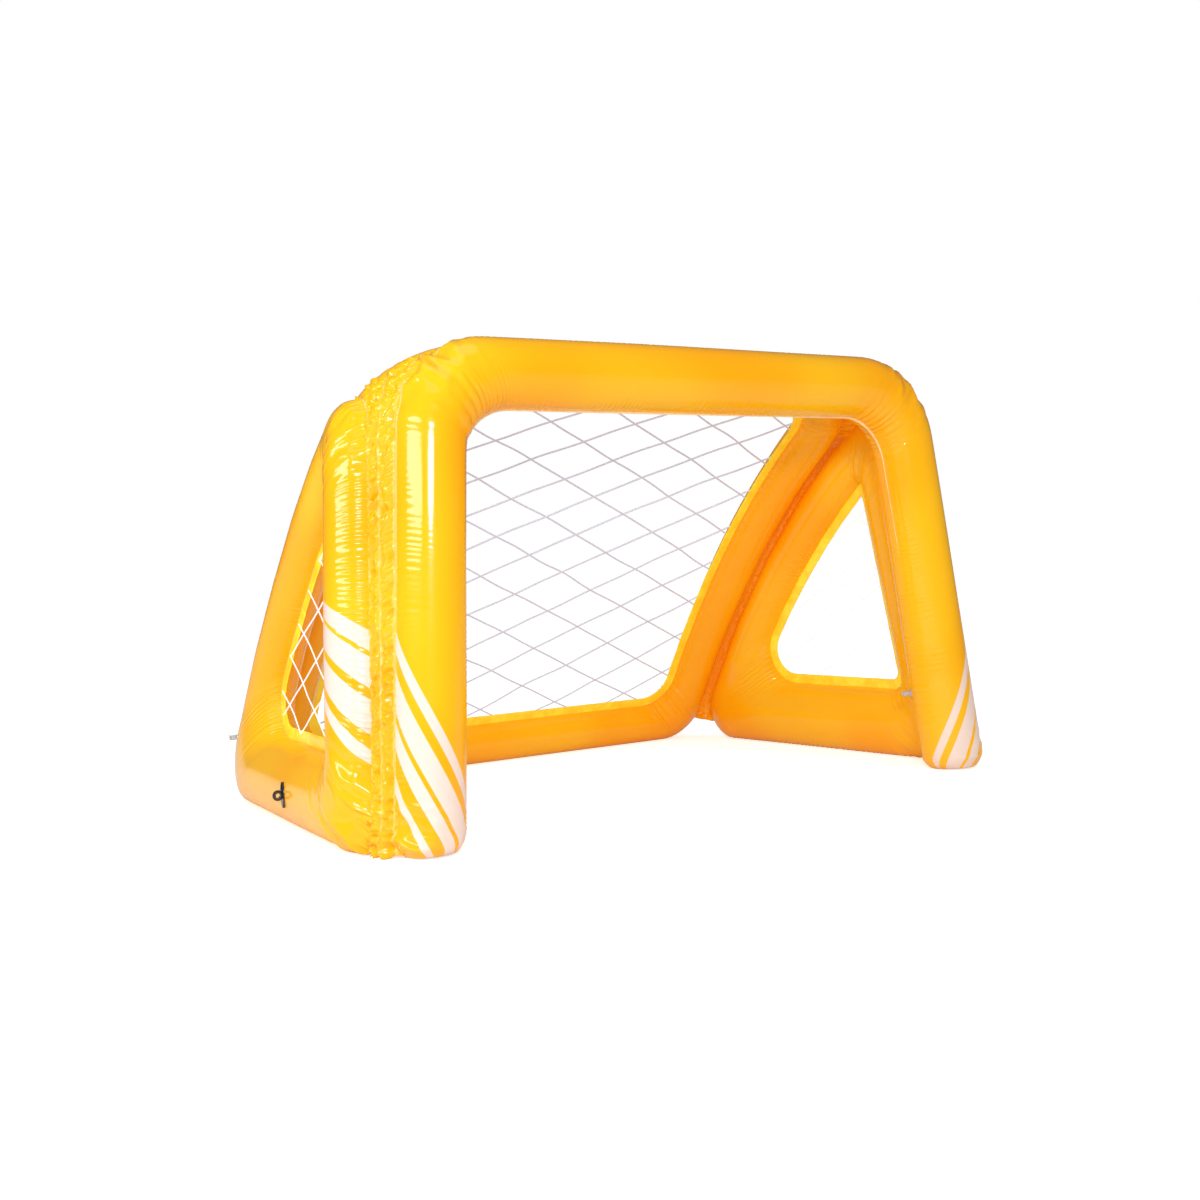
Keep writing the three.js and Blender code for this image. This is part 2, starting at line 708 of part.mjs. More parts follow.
// Side rings, their borders, nets, valves and tether eyelets
const sideTurns = { toe: SIDE_TOE_TURN, heel: SIDE_HEEL_TURN, peak: SIDE_PEAK_TURN };
const innerTurns = { toe: SIDE_INNER_TOE_TURN, heel: SIDE_INNER_HEEL_TURN, peak: SIDE_INNER_PEAK_TURN };
const tighter = (turns, by) =>
  Object.fromEntries(Object.entries(turns).map(([key, value]) => [key, Math.max(value - by, CORD)]));
const sideOuter = sideLoop(0, 0, 0, sideTurns);
const sideInner = sideLoop(SIDE_TUBE, SIDE_BASE_TUBE + FLAT, SIDE_BACK_TUBE, innerTurns);
const inset = (extra) =>
  sideLoop(
    SIDE_TUBE + extra,
    SIDE_BASE_TUBE + FLAT + extra,
    SIDE_BACK_TUBE + extra,
    tighter(innerTurns, extra),
  );
const sideHole = inset(FLANGE);
const sideNetEdge = inset(FLANGE - NET_LAP);
const sideSkins = [];

for (const [name, side] of [["left", -1], ["right", 1]]) {
  const onSide = sidePanel(side);
  const rows = sections(sideOuter, sideInner, onSide);
  const skin = solidOf(blowUp(rows, true, TUBE_SIDES, CLEARANCE));
  sideSkins.push(skin);
  const heelStart = ARC_STEPS + 2;
  const heelRow = rows[heelStart + Math.round(ARC_STEPS * HEEL_VALVE_SHARE)];
  const valve = standing(skinAt(heelRow, HEEL_VALVE_TURN_SHARE), at(0, 0, 1));
  const baseRow = rows[ARC_STEPS + 1];
  const eyeletRow = { ...baseRow, centre: onSide(EYELET_BACK - DEPTH / 2, baseRow.centre.z, 0) };
  const eyelet = standing(skinAt(eyeletRow, EYELET_TURN_SHARE), at(0, 1, 0));
  add(`side_ring_${name}`, chamber(rows, true, valve), VINYL);
  add(`side_net_border_${name}`, flange(sideOuter, sideInner, sideHole, onSide, skin), WELD);
  const knot = flat(-SIDE_KNOT_BACK, SIDE_KNOT_UP);
  const sideNet = net(outline(sideNetEdge), knot, SIDE_MESH_ACROSS, SIDE_MESH_UP, 0, onSide);
  add(`side_net_${name}`, sideNet, NET_CORD);
  const heights = stopsBetween(crossbarHeight);
  const postRail = heights.map((z) => at(side * (postX(z) + frontRadius - SEAM_ROOT), postY(z), z));
  const legRail = heights.map((z) => onSide(seamY(z) + SEAM_ROOT, z, 0));
  add(`seam_front_${name}`, seam(postRail, legRail, [archSkin, skin]), WELD);
  const runs = stopsBetween(backLength);
  const ringRail = runs.map((run) => rearPanel(side * (legX(0) + rearRadius - SEAM_ROOT), run, 0));
  const backRail = runs.map((run) => backAt(run, SEAM_BACK + SEAM_ROOT)).map(({ x, y }) => onSide(x, y, 0));
  add(`seam_back_${name}`, seam(ringRail, backRail, [rearSkin, skin]), WELD);
  addValve(`${name}_side`, valve, skin);
  add(`tether_tab_${name}`, eyeletTab(skin, eyelet), BLACK);
  add(`tether_grommet_${name}`, grommet(), STEEL, eyelet);
}

addValve("front", archValve, archSkin);

// The top seam runs round both upper corners, along the outer weld lines of the arch and the rear ring
const archSeam = archRun(SEAM_ROOT, ARCH_TURN - SEAM_ROOT);
const archTop = archSeam.slice(FOOT_STEPS + 1, -FOOT_STEPS - 1);
const rearSeam = rearLoop(SEAM_ROOT, REAR_FOOT_TURN - SEAM_ROOT, REAR_HEAD_TURN - SEAM_ROOT);
const headStart = 2 * (ARC_STEPS + 1) + LEG_STOPS;
const rearTop = rearSeam.slice(headStart, headStart + archTop.length);
const archRail = archTop.map((stop) => frontPanel(stop.at.x, stop.at.y, 0));
const rearRail = rearTop.map((stop) => rearPanel(stop.at.x, stop.at.y, 0));
add("seam_top", seam(archRail, rearRail, [archSkin, rearSkin, ...sideSkins]), WELD);

export default goal;
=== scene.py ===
# %% [markdown]
# # An inflatable water polo goal
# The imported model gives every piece's place. This lesson dresses it: air chambers of glossy vinyl with
# welded seams that pucker, thin cord nets, clear air valves and black tether eyelets. Lengths are in
# metres, the mouth faces -Y and +Z is up.

import json
import math

import bmesh
import bpy
from mathutils import Matrix, Vector, noise


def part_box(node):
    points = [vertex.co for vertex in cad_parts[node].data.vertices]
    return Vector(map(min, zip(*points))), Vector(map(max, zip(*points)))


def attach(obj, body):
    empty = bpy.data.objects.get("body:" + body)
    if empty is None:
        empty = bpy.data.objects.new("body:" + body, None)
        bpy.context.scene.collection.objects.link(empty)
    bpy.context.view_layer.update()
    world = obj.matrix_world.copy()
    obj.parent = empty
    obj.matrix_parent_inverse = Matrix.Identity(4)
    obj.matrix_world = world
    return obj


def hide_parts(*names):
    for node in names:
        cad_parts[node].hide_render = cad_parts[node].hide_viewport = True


SIDES = (("left", -1), ("right", 1))


def linked(name, data):
    """A new object of the scene."""
    made = bpy.data.objects.new(name, data)
    bpy.context.scene.collection.objects.link(made)
    return made


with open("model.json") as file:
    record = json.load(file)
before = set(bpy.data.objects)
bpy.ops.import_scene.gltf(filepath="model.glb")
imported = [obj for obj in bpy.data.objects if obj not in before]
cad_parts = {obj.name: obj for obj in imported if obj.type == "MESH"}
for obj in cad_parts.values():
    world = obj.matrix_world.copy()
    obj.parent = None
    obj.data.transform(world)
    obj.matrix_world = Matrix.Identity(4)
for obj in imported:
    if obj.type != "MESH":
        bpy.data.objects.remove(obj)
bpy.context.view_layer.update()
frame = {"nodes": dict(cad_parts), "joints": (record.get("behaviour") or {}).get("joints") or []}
joints = {joint["name"]: joint for joint in frame["joints"]}

# %% [markdown]
# ## The camera
# A photograph of something whose sizes are given tells where its camera stood. The angles, distance and
# focal length here make the model's outlines meet the photographed ones. The camera's matrix is made from
# its own right, up and back directions, because a small roll is awkward to give as Euler angles.

# %% Camera
AZIMUTH = math.radians(34.527)
ELEVATION = math.radians(2.274)
ROLL = math.radians(-2.065)
DISTANCE = 2.919
TARGET_RIGHT = 0.0173
TARGET_HEIGHT = 0.353
FOCAL_PIXELS = 1500
PHOTO_PIXELS = 1200
SENSOR = 36


def photo_camera():
    sin, cos = math.sin, math.cos
    look = Vector((sin(AZIMUTH) * cos(ELEVATION), cos(AZIMUTH) * cos(ELEVATION), -sin(ELEVATION)))
    level = Vector((cos(AZIMUTH), -sin(AZIMUTH), 0))
    upright = level.cross(look)
    right = level * cos(ROLL) + upright * sin(ROLL)
    up = upright * cos(ROLL) - level * sin(ROLL)
    place = level * TARGET_RIGHT + Vector((0, 0, TARGET_HEIGHT)) - look * DISTANCE
    data = bpy.data.cameras.new("photo_camera")
    data.sensor_width = SENSOR
    data.lens = SENSOR * FOCAL_PIXELS / PHOTO_PIXELS
    camera = linked("photo_camera", data)
    turned = Matrix((right, up, -look)).transposed().to_4x4()
    camera.matrix_world = Matrix.Translation(place) @ turned
    bpy.context.scene.camera = camera
    return camera


camera = photo_camera()
print("lens", round(camera.data.lens, 1), "mm at", [round(v, 2) for v in camera.location])

# %% [markdown]
# ## Sizes
# The chambers were cut as flat panels, so the whole goal follows from a few sizes: its width, depth and
# height, the tubes' diameters, how the panels lean, and where the weld lines run. They are the same
# values as the solids have, so that the fine surfaces made here lie on them.

# %% Sizes of the goal
WIDTH, DEPTH, HEIGHT = 1.400, 0.890, 0.810
FRONT_TUBE, REAR_TUBE = 0.116, 0.094
SIDE_TUBE, SIDE_BASE_TUBE, SIDE_BACK_TUBE, SIDE_BACK_DEPTH = 0.112, 0.138, 0.092, 0.086
CROSSBAR_DROP, POST_SPLAY, POST_LEAN, TOE_IN = 0.008, 0.070, 0.067, 0.084
BOW_BACK, BOW_UP = 0.036, 0.133
SEAM_ACROSS, SEAM_FOOT, SEAM_HEAD, SEAM_BACK, TOP_GAP = 0.022, 0.030, 0.069, 0.023, 0.0015
ARCH_TURN, ARCH_INNER_TURN = 0.160, 0.092
REAR_HEAD_TURN, REAR_INNER_HEAD_TURN, REAR_FOOT_TURN, REAR_INNER_FOOT_TURN = 0.205, 0.110, 0.090, 0.075
SIDE_TURNS = {"toe": 0.055, "heel": 0.066, "peak": 0.060}
SIDE_INNER_TURNS = {"toe": 0.036, "heel": 0.070, "peak": 0.014}
FOOT_ROUND, SUNK, FLANGE, CORD = 0.042, 0.002, 0.020, 0.003
BACK_STOP_SHARES = (0.32, 0.5, 0.68, 0.82)
PROBE = 0.001

front_radius, rear_radius = FRONT_TUBE / 2, REAR_TUBE / 2
crossbar_height = HEIGHT - CROSSBAR_DROP - front_radius
splay = POST_SPLAY / crossbar_height
toe_in = TOE_IN / (DEPTH - FRONT_TUBE)
seam_lean = (SEAM_HEAD - SEAM_FOOT) / crossbar_height


def post_y(z):
    return front_radius - DEPTH / 2 + POST_LEAN * (z - FOOT_ROUND) / crossbar_height


def seam_y(z):
    return post_y(z) + SEAM_FOOT + seam_lean * z


def side_x(y, z):
    back = y - post_y(z) - SEAM_FOOT - SIDE_TUBE / 2
    return WIDTH / 2 - SIDE_TUBE / 2 - splay * (z - SIDE_BASE_TUBE / 2) - toe_in * back


def post_x(z):
    return side_x(post_y(z), z) - SEAM_ACROSS - front_radius


print("crossbar axis", round(crossbar_height, 3), "post axis at the foot", round(post_x(0), 3))

# %% [markdown]
# ## The panels
# The rear panel slopes up in one bow, a quadratic curve that is measured along its length so that cords
# and weld lines keep their spacing. A panel is written as a function from the flat pattern's two
# coordinates, and a lift off it, to a place on the goal. The lift's direction comes from two small steps
# on the panel and their cross product.

# %% Panels
back_start = Vector((DEPTH / 2 - rear_radius, rear_radius - SUNK))
back_end = Vector((post_y(crossbar_height) + front_radius + TOP_GAP + rear_radius, HEIGHT - rear_radius))
bow = (back_start + back_end) / 2 + Vector((BOW_BACK, BOW_UP))
BACK_SAMPLES = 400


def back_curve(share):
    near, far = back_start.lerp(bow, share), bow.lerp(back_end, share)
    return near.lerp(far, share), (far - near).normalized()


back_runs = [0.0]
for index in range(BACK_SAMPLES):
    step = back_curve((index + 1) / BACK_SAMPLES)[0] - back_curve(index / BACK_SAMPLES)[0]
    back_runs.append(back_runs[-1] + step.length)
back_length = back_runs[-1]


def back_at(run, inset):
    """The back's place in depth and height at a run along its bow, moved inwards by an inset."""
    held = min(max(run, 0.0), back_length)
    low, high = 0, BACK_SAMPLES
    while high - low > 1:
        middle = (low + high) // 2
        low, high = (middle, high) if back_runs[middle] <= held else (low, middle)
    part = (held - back_runs[low]) / (back_runs[high] - back_runs[low])
    place, along = back_curve((low + part) / BACK_SAMPLES)
    return place + along * (run - held) + Vector((-along.y, along.x)) * inset


def leg_x(run):
    y, z = back_at(min(max(run, 0.0), back_length), 0)
    return side_x(y, z) - SEAM_ACROSS - rear_radius


leg_foot_x = leg_x(0)


def panel(base, facing):
    def place(x, y, lift=0.0):
        if not lift:
            return base(x, y)
        across = base(x + PROBE, y) - base(x - PROBE, y)
        up = base(x, y + PROBE) - base(x, y - PROBE)
        return base(x, y) + across.cross(up).normalized() * facing * lift
    return place


def rear_base(x, run):
    y, z = back_at(run, 0)
    return Vector((x * leg_x(run) / leg_foot_x, y, z))


front_panel = panel(lambda x, z: Vector((x, post_y(z), z)), 1)
rear_panel = panel(rear_base, -1)


def side_panel(side):
    return panel(lambda y, z: Vector((side * side_x(y, z), y, z)), side)


print("back", round(back_length, 3), "m along its bow")

# %% [markdown]
# ## Weld lines
# Each chamber lies between an outer and an inner weld line. An outline is walked corner by corner, and
# each corner is turned on an arc. Both lines of a chamber get the same number of stops, so that stop by
# stop they give the tube's two edges there.

# %% Outlines
ARC_STEPS, FOOT_STEPS = 72, 14
TOE_ROUND = 0.022
STOP_PITCH = 0.0024
HALVINGS, OVERRUN = 40, 0.040


def walk(corners, closed, counts=None):
    """Stops round an outline as (place, depth, corner share), and how many stops each edge got."""
    stops, made = [], []
    for index, corner in enumerate(corners):
        before, after = corners[index - 1], corners[(index + 1) % len(corners)]
        if not corner.get("turn") or (not closed and index in (0, len(corners) - 1)):
            stops.append([corner["at"], corner["depth"], 0.0, True])
            continue
        into = (corner["at"] - before["at"]).normalized()
        out = (after["at"] - corner["at"]).normalized()
        swing = math.atan2(into.cross(out), into.dot(out))
        reach = corner["turn"] * math.tan(abs(swing) / 2)
        start = corner["at"] - into * reach
        centre = start + Vector((-into.y, into.x)) * math.copysign(corner["turn"], swing)
        for k in range(ARC_STEPS + 1):
            share = k / ARC_STEPS
            place = centre + (Matrix.Rotation(swing * share, 2) @ (start - centre))
            depth = before["depth"] + (corner["depth"] - before["depth"]) * share
            bend = math.sin(math.pi * share) * abs(swing) / (math.pi / 2)
            stops.append([place, depth, bend, k == ARC_STEPS])
    walked = []
    ends = stops[1:] + stops[:1] if closed else stops[1:]
    for stop, following in zip(stops, ends):
        walked.append(tuple(stop[:3]))
        if not stop[3]:
            continue
        length = (following[0] - stop[0]).length
        count = max(0, round(length / STOP_PITCH) - 1) if counts is None else counts[len(made)]
        made.append(count)
        for k in range(count):
            share = (k + 1) / (count + 1)
            depth = stop[1] + (following[1] - stop[1]) * share
            walked.append((stop[0].lerp(following[0], share), depth, 0.0))
    if not closed:
        walked.append(tuple(stops[-1][:3]))
    return walked, made


def arch_corners(inset, turn):
    half = front_radius - inset
    corners = []
    for k in range(FOOT_STEPS + 1):
        angle = math.pi / 2 * k / FOOT_STEPS
        z, tuck = TOE_ROUND * (1 - math.cos(angle)), TOE_ROUND * (1 - math.sin(angle))
        x = post_x(z) + math.copysign(abs(half) - tuck, half)
        corners.append({"at": Vector((x, z)), "depth": front_radius - tuck})
    top = crossbar_height + half
    corners.append({"at": Vector((post_x(top) + half, top)), "depth": front_radius, "turn": turn})
    mirrored = [{**corner, "at": Vector((-corner["at"].x, corner["at"].y))} for corner in reversed(corners)]
    return corners + mirrored


def rear_corners(inset, foot_turn, head_turn):
    half = leg_foot_x + rear_radius - inset
    low, high = inset - rear_radius, back_length + rear_radius - inset
    feet = [(-half, low, foot_turn), (half, low, foot_turn)]
    heads = [(half, high, head_turn), (-half, high, head_turn)]
    return [{"at": Vector((x, y)), "depth": rear_radius, "turn": turn} for x, y, turn in feet + heads]


def solve(low, high, test):
    start = test(low)
    for _ in range(HALVINGS):
        middle = (low + high) / 2
        low, high = (middle, high) if test(middle) == start else (low, middle)
    return (low + high) / 2


def side_corners(front, base, back, turns):
    floor, inset = base - SUNK, SEAM_BACK + back
    low, high = -rear_radius - OVERRUN, back_length + rear_radius + OVERRUN
    heel = solve(low, high, lambda run: back_at(run, inset).y > floor)
    peak = solve(low, high, lambda run: back_at(run, inset).x > seam_y(back_at(run, inset).y) + front)
    leg, thin = SIDE_TUBE / 2, SIDE_BACK_DEPTH / 2
    stops = [back_at(heel + (peak - heel) * share, inset) for share in BACK_STOP_SHARES]
    return [
        {"at": Vector((seam_y(floor) + front, floor)), "depth": leg, "turn": turns["toe"]},
        {"at": back_at(heel, inset), "depth": thin, "turn": turns["heel"]},
        *[{"at": stop, "depth": thin} for stop in stops],
        {"at": back_at(peak, inset), "depth": leg, "turn": turns["peak"]},
    ]


arch_outer, arch_counts = walk(arch_corners(0, ARCH_TURN), False)
arch_inner, _ = walk(arch_corners(FRONT_TUBE, ARCH_INNER_TURN), False, arch_counts)
rear_outer, rear_counts = walk(rear_corners(0, REAR_FOOT_TURN, REAR_HEAD_TURN), True)
rear_inner, _ = walk(
    rear_corners(REAR_TUBE, REAR_INNER_FOOT_TURN, REAR_INNER_HEAD_TURN), True, rear_counts)
side_outer, side_counts = walk(side_corners(0, 0, 0, SIDE_TURNS), True)
side_inner, _ = walk(
    side_corners(SIDE_TUBE, SIDE_BASE_TUBE + SUNK, SIDE_BACK_TUBE, SIDE_INNER_TURNS), True, side_counts)
print("stops", len(arch_outer), len(rear_outer), len(side_outer), len(side_inner))

# %% [markdown]
# ## Sections
# At each stop the tube's section is an oval between its two weld lines. A section keeps its middle, the
# way out to the outer line, the way out of the panel, its two radii, its run along the chamber and how
# much of a corner it is in. Averaging neighbours over a few stops rounds off the kinks between straight
# and arc.

# %% Sections
SMOOTH_STOPS = 6


def averaged(values, closed, reach=SMOOTH_STOPS):
    count = len(values)
    if closed:
        around = lambda i: [values[(i + k) % count] for k in range(-reach, reach + 1)]
    else:
        span = lambda i: min(reach, i, count - 1 - i)
        around = lambda i: [values[i + k] for k in range(-span(i), span(i) + 1)]
    total = lambda group: sum(group[1:], group[0]) / len(group)
    return [total(around(i)) for i in range(count)]


def sections(outer, inner, on_panel, closed):
    edges = averaged([on_panel(*place) for place, _, _ in outer], closed)
    bores = averaged([on_panel(*place) for place, _, _ in inner], closed)
    depths = averaged([depth for _, depth, _ in outer], closed)
    bends = averaged([bend for _, _, bend in outer], closed)
    rows, run = [], 0.0
    for i, (edge, bore) in enumerate(zip(edges, bores)):
        middle = outer[i][0].lerp(inner[i][0], 0.5)
        lift = (on_panel(middle.x, middle.y, PROBE) - on_panel(middle.x, middle.y)).normalized()
        centre = (edge + bore) / 2
        run += (centre - rows[-1]["centre"]).length if rows else 0.0
        rows.append({
            "centre": centre, "reach": (edge - bore).normalized(), "lift": lift,
            "half": (edge - bore).length / 2, "depth": depths[i], "bend": bends[i], "run": run,
        })
    return rows


arch_rows = sections(arch_outer, arch_inner, front_panel, False)
rear_rows = sections(rear_outer, rear_inner, rear_panel, True)
side_rows = {name: sections(side_outer, side_inner, side_panel(side), True)
             for name, side in SIDES}
print("arch runs", round(arch_rows[-1]["run"], 3), "m, rear ring", round(rear_rows[-1]["run"], 3), "m")

# %% [markdown]
# ## Wrinkles
# A tube blown up from two flat sheets is smooth where its skin is pulled tight, and gathers where the
# flat pattern has too much film: along the weld lines, and on the inner side of each corner. Both are
# short dents with their crease across the weld. Smooth noise along the run spaces them unevenly and makes
# some deeper. Such a drift is kept as its middle, its spread, the length of one change, its layer of the
# noise, and its least and most. Where three chambers meet, the film is also crumpled into folds with
# sharp edges.

# %% Wrinkle shapes
PUCKER_PITCH, PUCKER_DEPTH, PUCKER_REACH = 0.0098, 0.0037, 0.034
PUCKER_DRIFT = (0.62, 0.95, 0.07, 4.1, 0.12, 1.1)
PUCKER_REACH_DRIFT = (1, 0.5, 0.012, 6.6, 0, 2)
INNER_PUCKER_SHARE = 0.5
INNER_PUCKER_DRIFT = (0.45, 0.9, 0.09, 8.2, 0.0, 2)
CREASE_PITCH, CREASE_DEPTH, CREASE_REACH = 0.016, 0.0058, 0.068
CREASE_DRIFT = (0.75, 0.8, 0.035, 2.9, 0.2, 2)
CREASE_REACH_DRIFT = (1, 0.5, 0.03, 1.7, 0, 2)
CRUMPLE_DEPTH, CRUMPLE_REACH, CRUMPLE_SINK = 0.0075, 0.060, 0.6
CRUMPLE_FOLD, CRUMPLE_SMALL_FOLD, SMALL_FOLD_SHARE = (0.05, 0.075), (0.022, 0.04), 0.6
SWELL, SWELL_LENGTH = 0.0016, 0.30
UNEVEN, UNEVEN_PITCHES, UNEVEN_LAYER, VALLEY_POWER, FOLD_SLOPE = 1.1, 3, 0.3, 3, 4
FAINT = 0.02


def wander(*where):
    """Smooth noise from -1 to 1."""
    return noise.noise(Vector(where))


def dents(run, pitch, seed):
    """Rounded ridges with narrow valleys, unevenly spaced, from -1 in a valley to 0."""
    phase = run / pitch + UNEVEN * wander(run / pitch / UNEVEN_PITCHES, seed, UNEVEN_LAYER)
    return -(abs(math.cos(math.pi * phase)) ** VALLEY_POWER)


def creased(*where):
    """Folds with sharp edges, from -1 in a fold to 1."""
    return 1 - FOLD_SLOPE * abs(wander(*where))


def drifting(run, seed, drift):
    """A strength that changes along the run, held between its least and its most."""
    middle, spread, length, layer, least, most = drift
    return min(max(middle + spread * wander(run / length, seed, layer), least), most)


def fade(distance, reach, power):
    """1 at a line, and next to nothing a little beyond the reach."""
    return math.exp(-((distance / reach) ** power))


def crumpled(run, across, fold, seed):
    along, aside = fold
    return creased(run / along, across / aside, seed)


def on_skin(row, share):
    """A smooth skin's place at a share of a turn round from the outer weld line, and the way out of it."""
    angle = 2 * math.pi * share
    cos, sin = math.cos(angle), math.sin(angle)
    point = row["centre"] + (row["reach"] * cos * row["half"] + row["lift"] * sin * row["depth"])
    out = (row["reach"] * cos / row["half"] + row["lift"] * sin / row["depth"]).normalized()
    return point, out


def wrinkle(row, turn, seed, comb, gathers):
    """How far the skin moves out at a share of a turn round from the outer weld line."""
    girth = math.pi * (row["half"] + row["depth"])
    outer, inner = min(turn, 1 - turn) * girth, abs(turn - 0.5) * girth
    run, bend = row["run"], min(row["bend"], 1.0)
    strong = comb * PUCKER_DEPTH * drifting(run, seed, PUCKER_DRIFT)
    reach = PUCKER_REACH * drifting(run, seed, PUCKER_REACH_DRIFT)
    rise = strong * fade(outer, reach, 1.5) * dents(run, PUCKER_PITCH, seed)
    fine = INNER_PUCKER_SHARE * PUCKER_DEPTH * drifting(run, seed, INNER_PUCKER_DRIFT)
    rise += fine * fade(inner, PUCKER_REACH, 1.5) * dents(run, PUCKER_PITCH, seed + 5)
    if bend > FAINT:
        deep = CREASE_DEPTH * drifting(run, seed, CREASE_DRIFT) * bend
        reach = CREASE_REACH * drifting(run, seed, CREASE_REACH_DRIFT)
        squeezed = 2 * run * row["half"] / (row["half"] + row["depth"])
        rise += deep * fade(inner, reach, 2) * dents(squeezed, CREASE_PITCH, seed + 9)
    for place, span in gathers:
        near = fade(run - place, span, 2) * fade(outer, CRUMPLE_REACH, 1)
        if near > FAINT:
            across = (turn if turn < 0.5 else turn - 1) * girth
            folds = crumpled(run, across, CRUMPLE_FOLD, seed + 12) - CRUMPLE_SINK
            folds += SMALL_FOLD_SHARE * crumpled(run, across, CRUMPLE_SMALL_FOLD, seed + 13)
            rise += CRUMPLE_DEPTH * near * folds
    around = 2 * math.pi * turn
    rise += SWELL * wander(run / SWELL_LENGTH, math.cos(around) + seed, math.sin(around))
    return rise


print("a weld pucker is", round(PUCKER_DEPTH * 1000, 1), "mm deep, a corner crease",
      round(CREASE_DEPTH * 1000, 1), "mm")

# %% [markdown]
# ## Wrapping a sheet
# Every film piece here starts as a flat grid, as the real one starts as a flat sheet. Each of its points
# is then moved to its place by a function of its stop along and its share across. The grid's own UV map
# is turned into metres, so that patterns can be laid on the sheet in real sizes.

# %% Sheet helper
ROUND_SIDES = 56
MERGE = 1e-5


def new_object(name, bm, material):
    mesh = bpy.data.meshes.new(name)
    bm.to_mesh(mesh)
    bm.free()
    piece = linked(name, mesh)
    mesh.materials.append(material)
    for polygon in mesh.polygons:
        polygon.use_smooth = True
    return piece


def belongs(piece, body, slot, *nodes):
    """Hide the nodes that a piece takes the place of, and put it on the body it moves with. The slot is not
    used.
    """
    if nodes:
        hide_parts(*nodes)
    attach(piece, body)
    return piece


def wrapped_grid(along, across, place, lengths):
    """A grid of faces, each point moved to place(stop, share across), with its UV map in metres."""
    bm = bmesh.new()
    bm.loops.layers.uv.new("sheet")
    bmesh.ops.create_grid(bm, x_segments=along, y_segments=across, size=0.5, calc_uvs=True)
    layer = bm.loops.layers.uv.active
    runs, width = lengths
    for face in bm.faces:
        for loop in face.loops:
            share = loop.vert.co.x + 0.5
            loop[layer].uv = (runs[min(round(share * along), along)], (loop.vert.co.y + 0.5) * width)
    for vert in bm.verts:
        vert.co = place(min(round((vert.co.x + 0.5) * along), along), vert.co.y + 0.5)
    return bm


def closed_up(bm):
    bmesh.ops.remove_doubles(bm, verts=bm.verts, dist=MERGE)
    bmesh.ops.recalc_face_normals(bm, faces=bm.faces)
    return bm


def solid_sheet(bm, thickness):
    bmesh.ops.recalc_face_normals(bm, faces=bm.faces)
    bmesh.ops.solidify(bm, geom=list(bm.verts) + list(bm.edges) + list(bm.faces), thickness=thickness)
    bmesh.ops.recalc_face_normals(bm, faces=bm.faces)
    return bm


print("sheets are wrapped with", ROUND_SIDES, "faces round a tube")

# %% [markdown]
# ## Shader maths
# Materials are written as expressions. One small class wraps a socket, so that plus, minus, times, less
# than and greater than add Math nodes, and one method adds any other node with its settings and inputs.

# %% Shader expressions


class Wire:
    """A value or colour in a material's node tree."""

    def __init__(self, tree, socket):
        self.tree, self.socket = tree, socket

    def node(self, kind, inputs=(), out=0, **settings):
        made = self.tree.nodes.new(kind)
        for key, value in settings.items():
            setattr(made, key, value)
        for name, value in dict(inputs).items():
            socket = made.inputs[name]
            if isinstance(value, Wire):
                self.tree.links.new(value.socket, socket)
            else:
                socket.default_value = value
        return Wire(self.tree, made.outputs[out])

    def maths(self, operation, *others, **more):
        inputs = dict(enumerate((self, *others)))
        return self.node("ShaderNodeMath", inputs, operation=operation, **more)

    def __add__(self, other):
        return self.maths("ADD", other)

    def __rsub__(self, other):
        return (self * -1) + other

    def __mul__(self, other):
        return self.maths("MULTIPLY", other)

    def __lt__(self, other):
        return self.maths("LESS_THAN", other)

    def __gt__(self, other):
        return self.maths("GREATER_THAN", other)

    def clamped(self):
        return self.maths("ADD", 0.0, use_clamp=True)

    def ramp(self, low, high):
        """0 below low, 1 above high, smooth between."""
        inputs = {"Value": self, "From Min": low, "From Max": high}
        return self.node("ShaderNodeMapRange", inputs, interpolation_type="SMOOTHSTEP")

    def mixed(self, first, second):
        """The first colour where this is 0, the second where it is 1."""
        inputs = {0: self, 6: first, 7: second}
        return self.node("ShaderNodeMix", inputs, out=2, data_type="RGBA")


def material(name, **constants):
    """A new material with constants on its shader's sockets, that shader, and a wire to start from."""
    made = bpy.data.materials.new(name)
    made.use_nodes = True
    tree = made.node_tree
    shader = tree.nodes["Principled BSDF"]
    for key, value in constants.items():
        shader.inputs[key.replace("_", " ")].default_value = value
    return made, shader, Wire(tree, None)


def feed(wire, shader, name):
    wire.tree.links.new(wire.socket, shader.inputs[name])


OBJECT_COORDINATES = 3


def textured(start, scale, detail=2.0):
    """Noise in the object's own coordinates."""
    where = start.node("ShaderNodeTexCoord", out=OBJECT_COORDINATES)
    return start.node("ShaderNodeTexNoise", {"Vector": where, "Scale": scale, "Detail": detail})


def clouded(start, scale, first, second, low=0.3, high=0.7):
    return textured(start, scale).ramp(low, high).mixed(first, second)


def finished(start, shader, colour, rough, bump):
    """Feed a shader its colour, an uneven roughness (scale, spread, least) and a bump (texture, height)."""
    feed(colour, shader, "Base Color")
    if rough:
        scale, spread, least = rough
        feed(textured(start, scale) * spread + least, shader, "Roughness")
    if bump:
        texture, height = bump
        inputs = {"Height": texture, "Distance": height, "Strength": 1.0}
        feed(start.node("ShaderNodeBump", inputs), shader, "Normal")


print("shader helper ready")
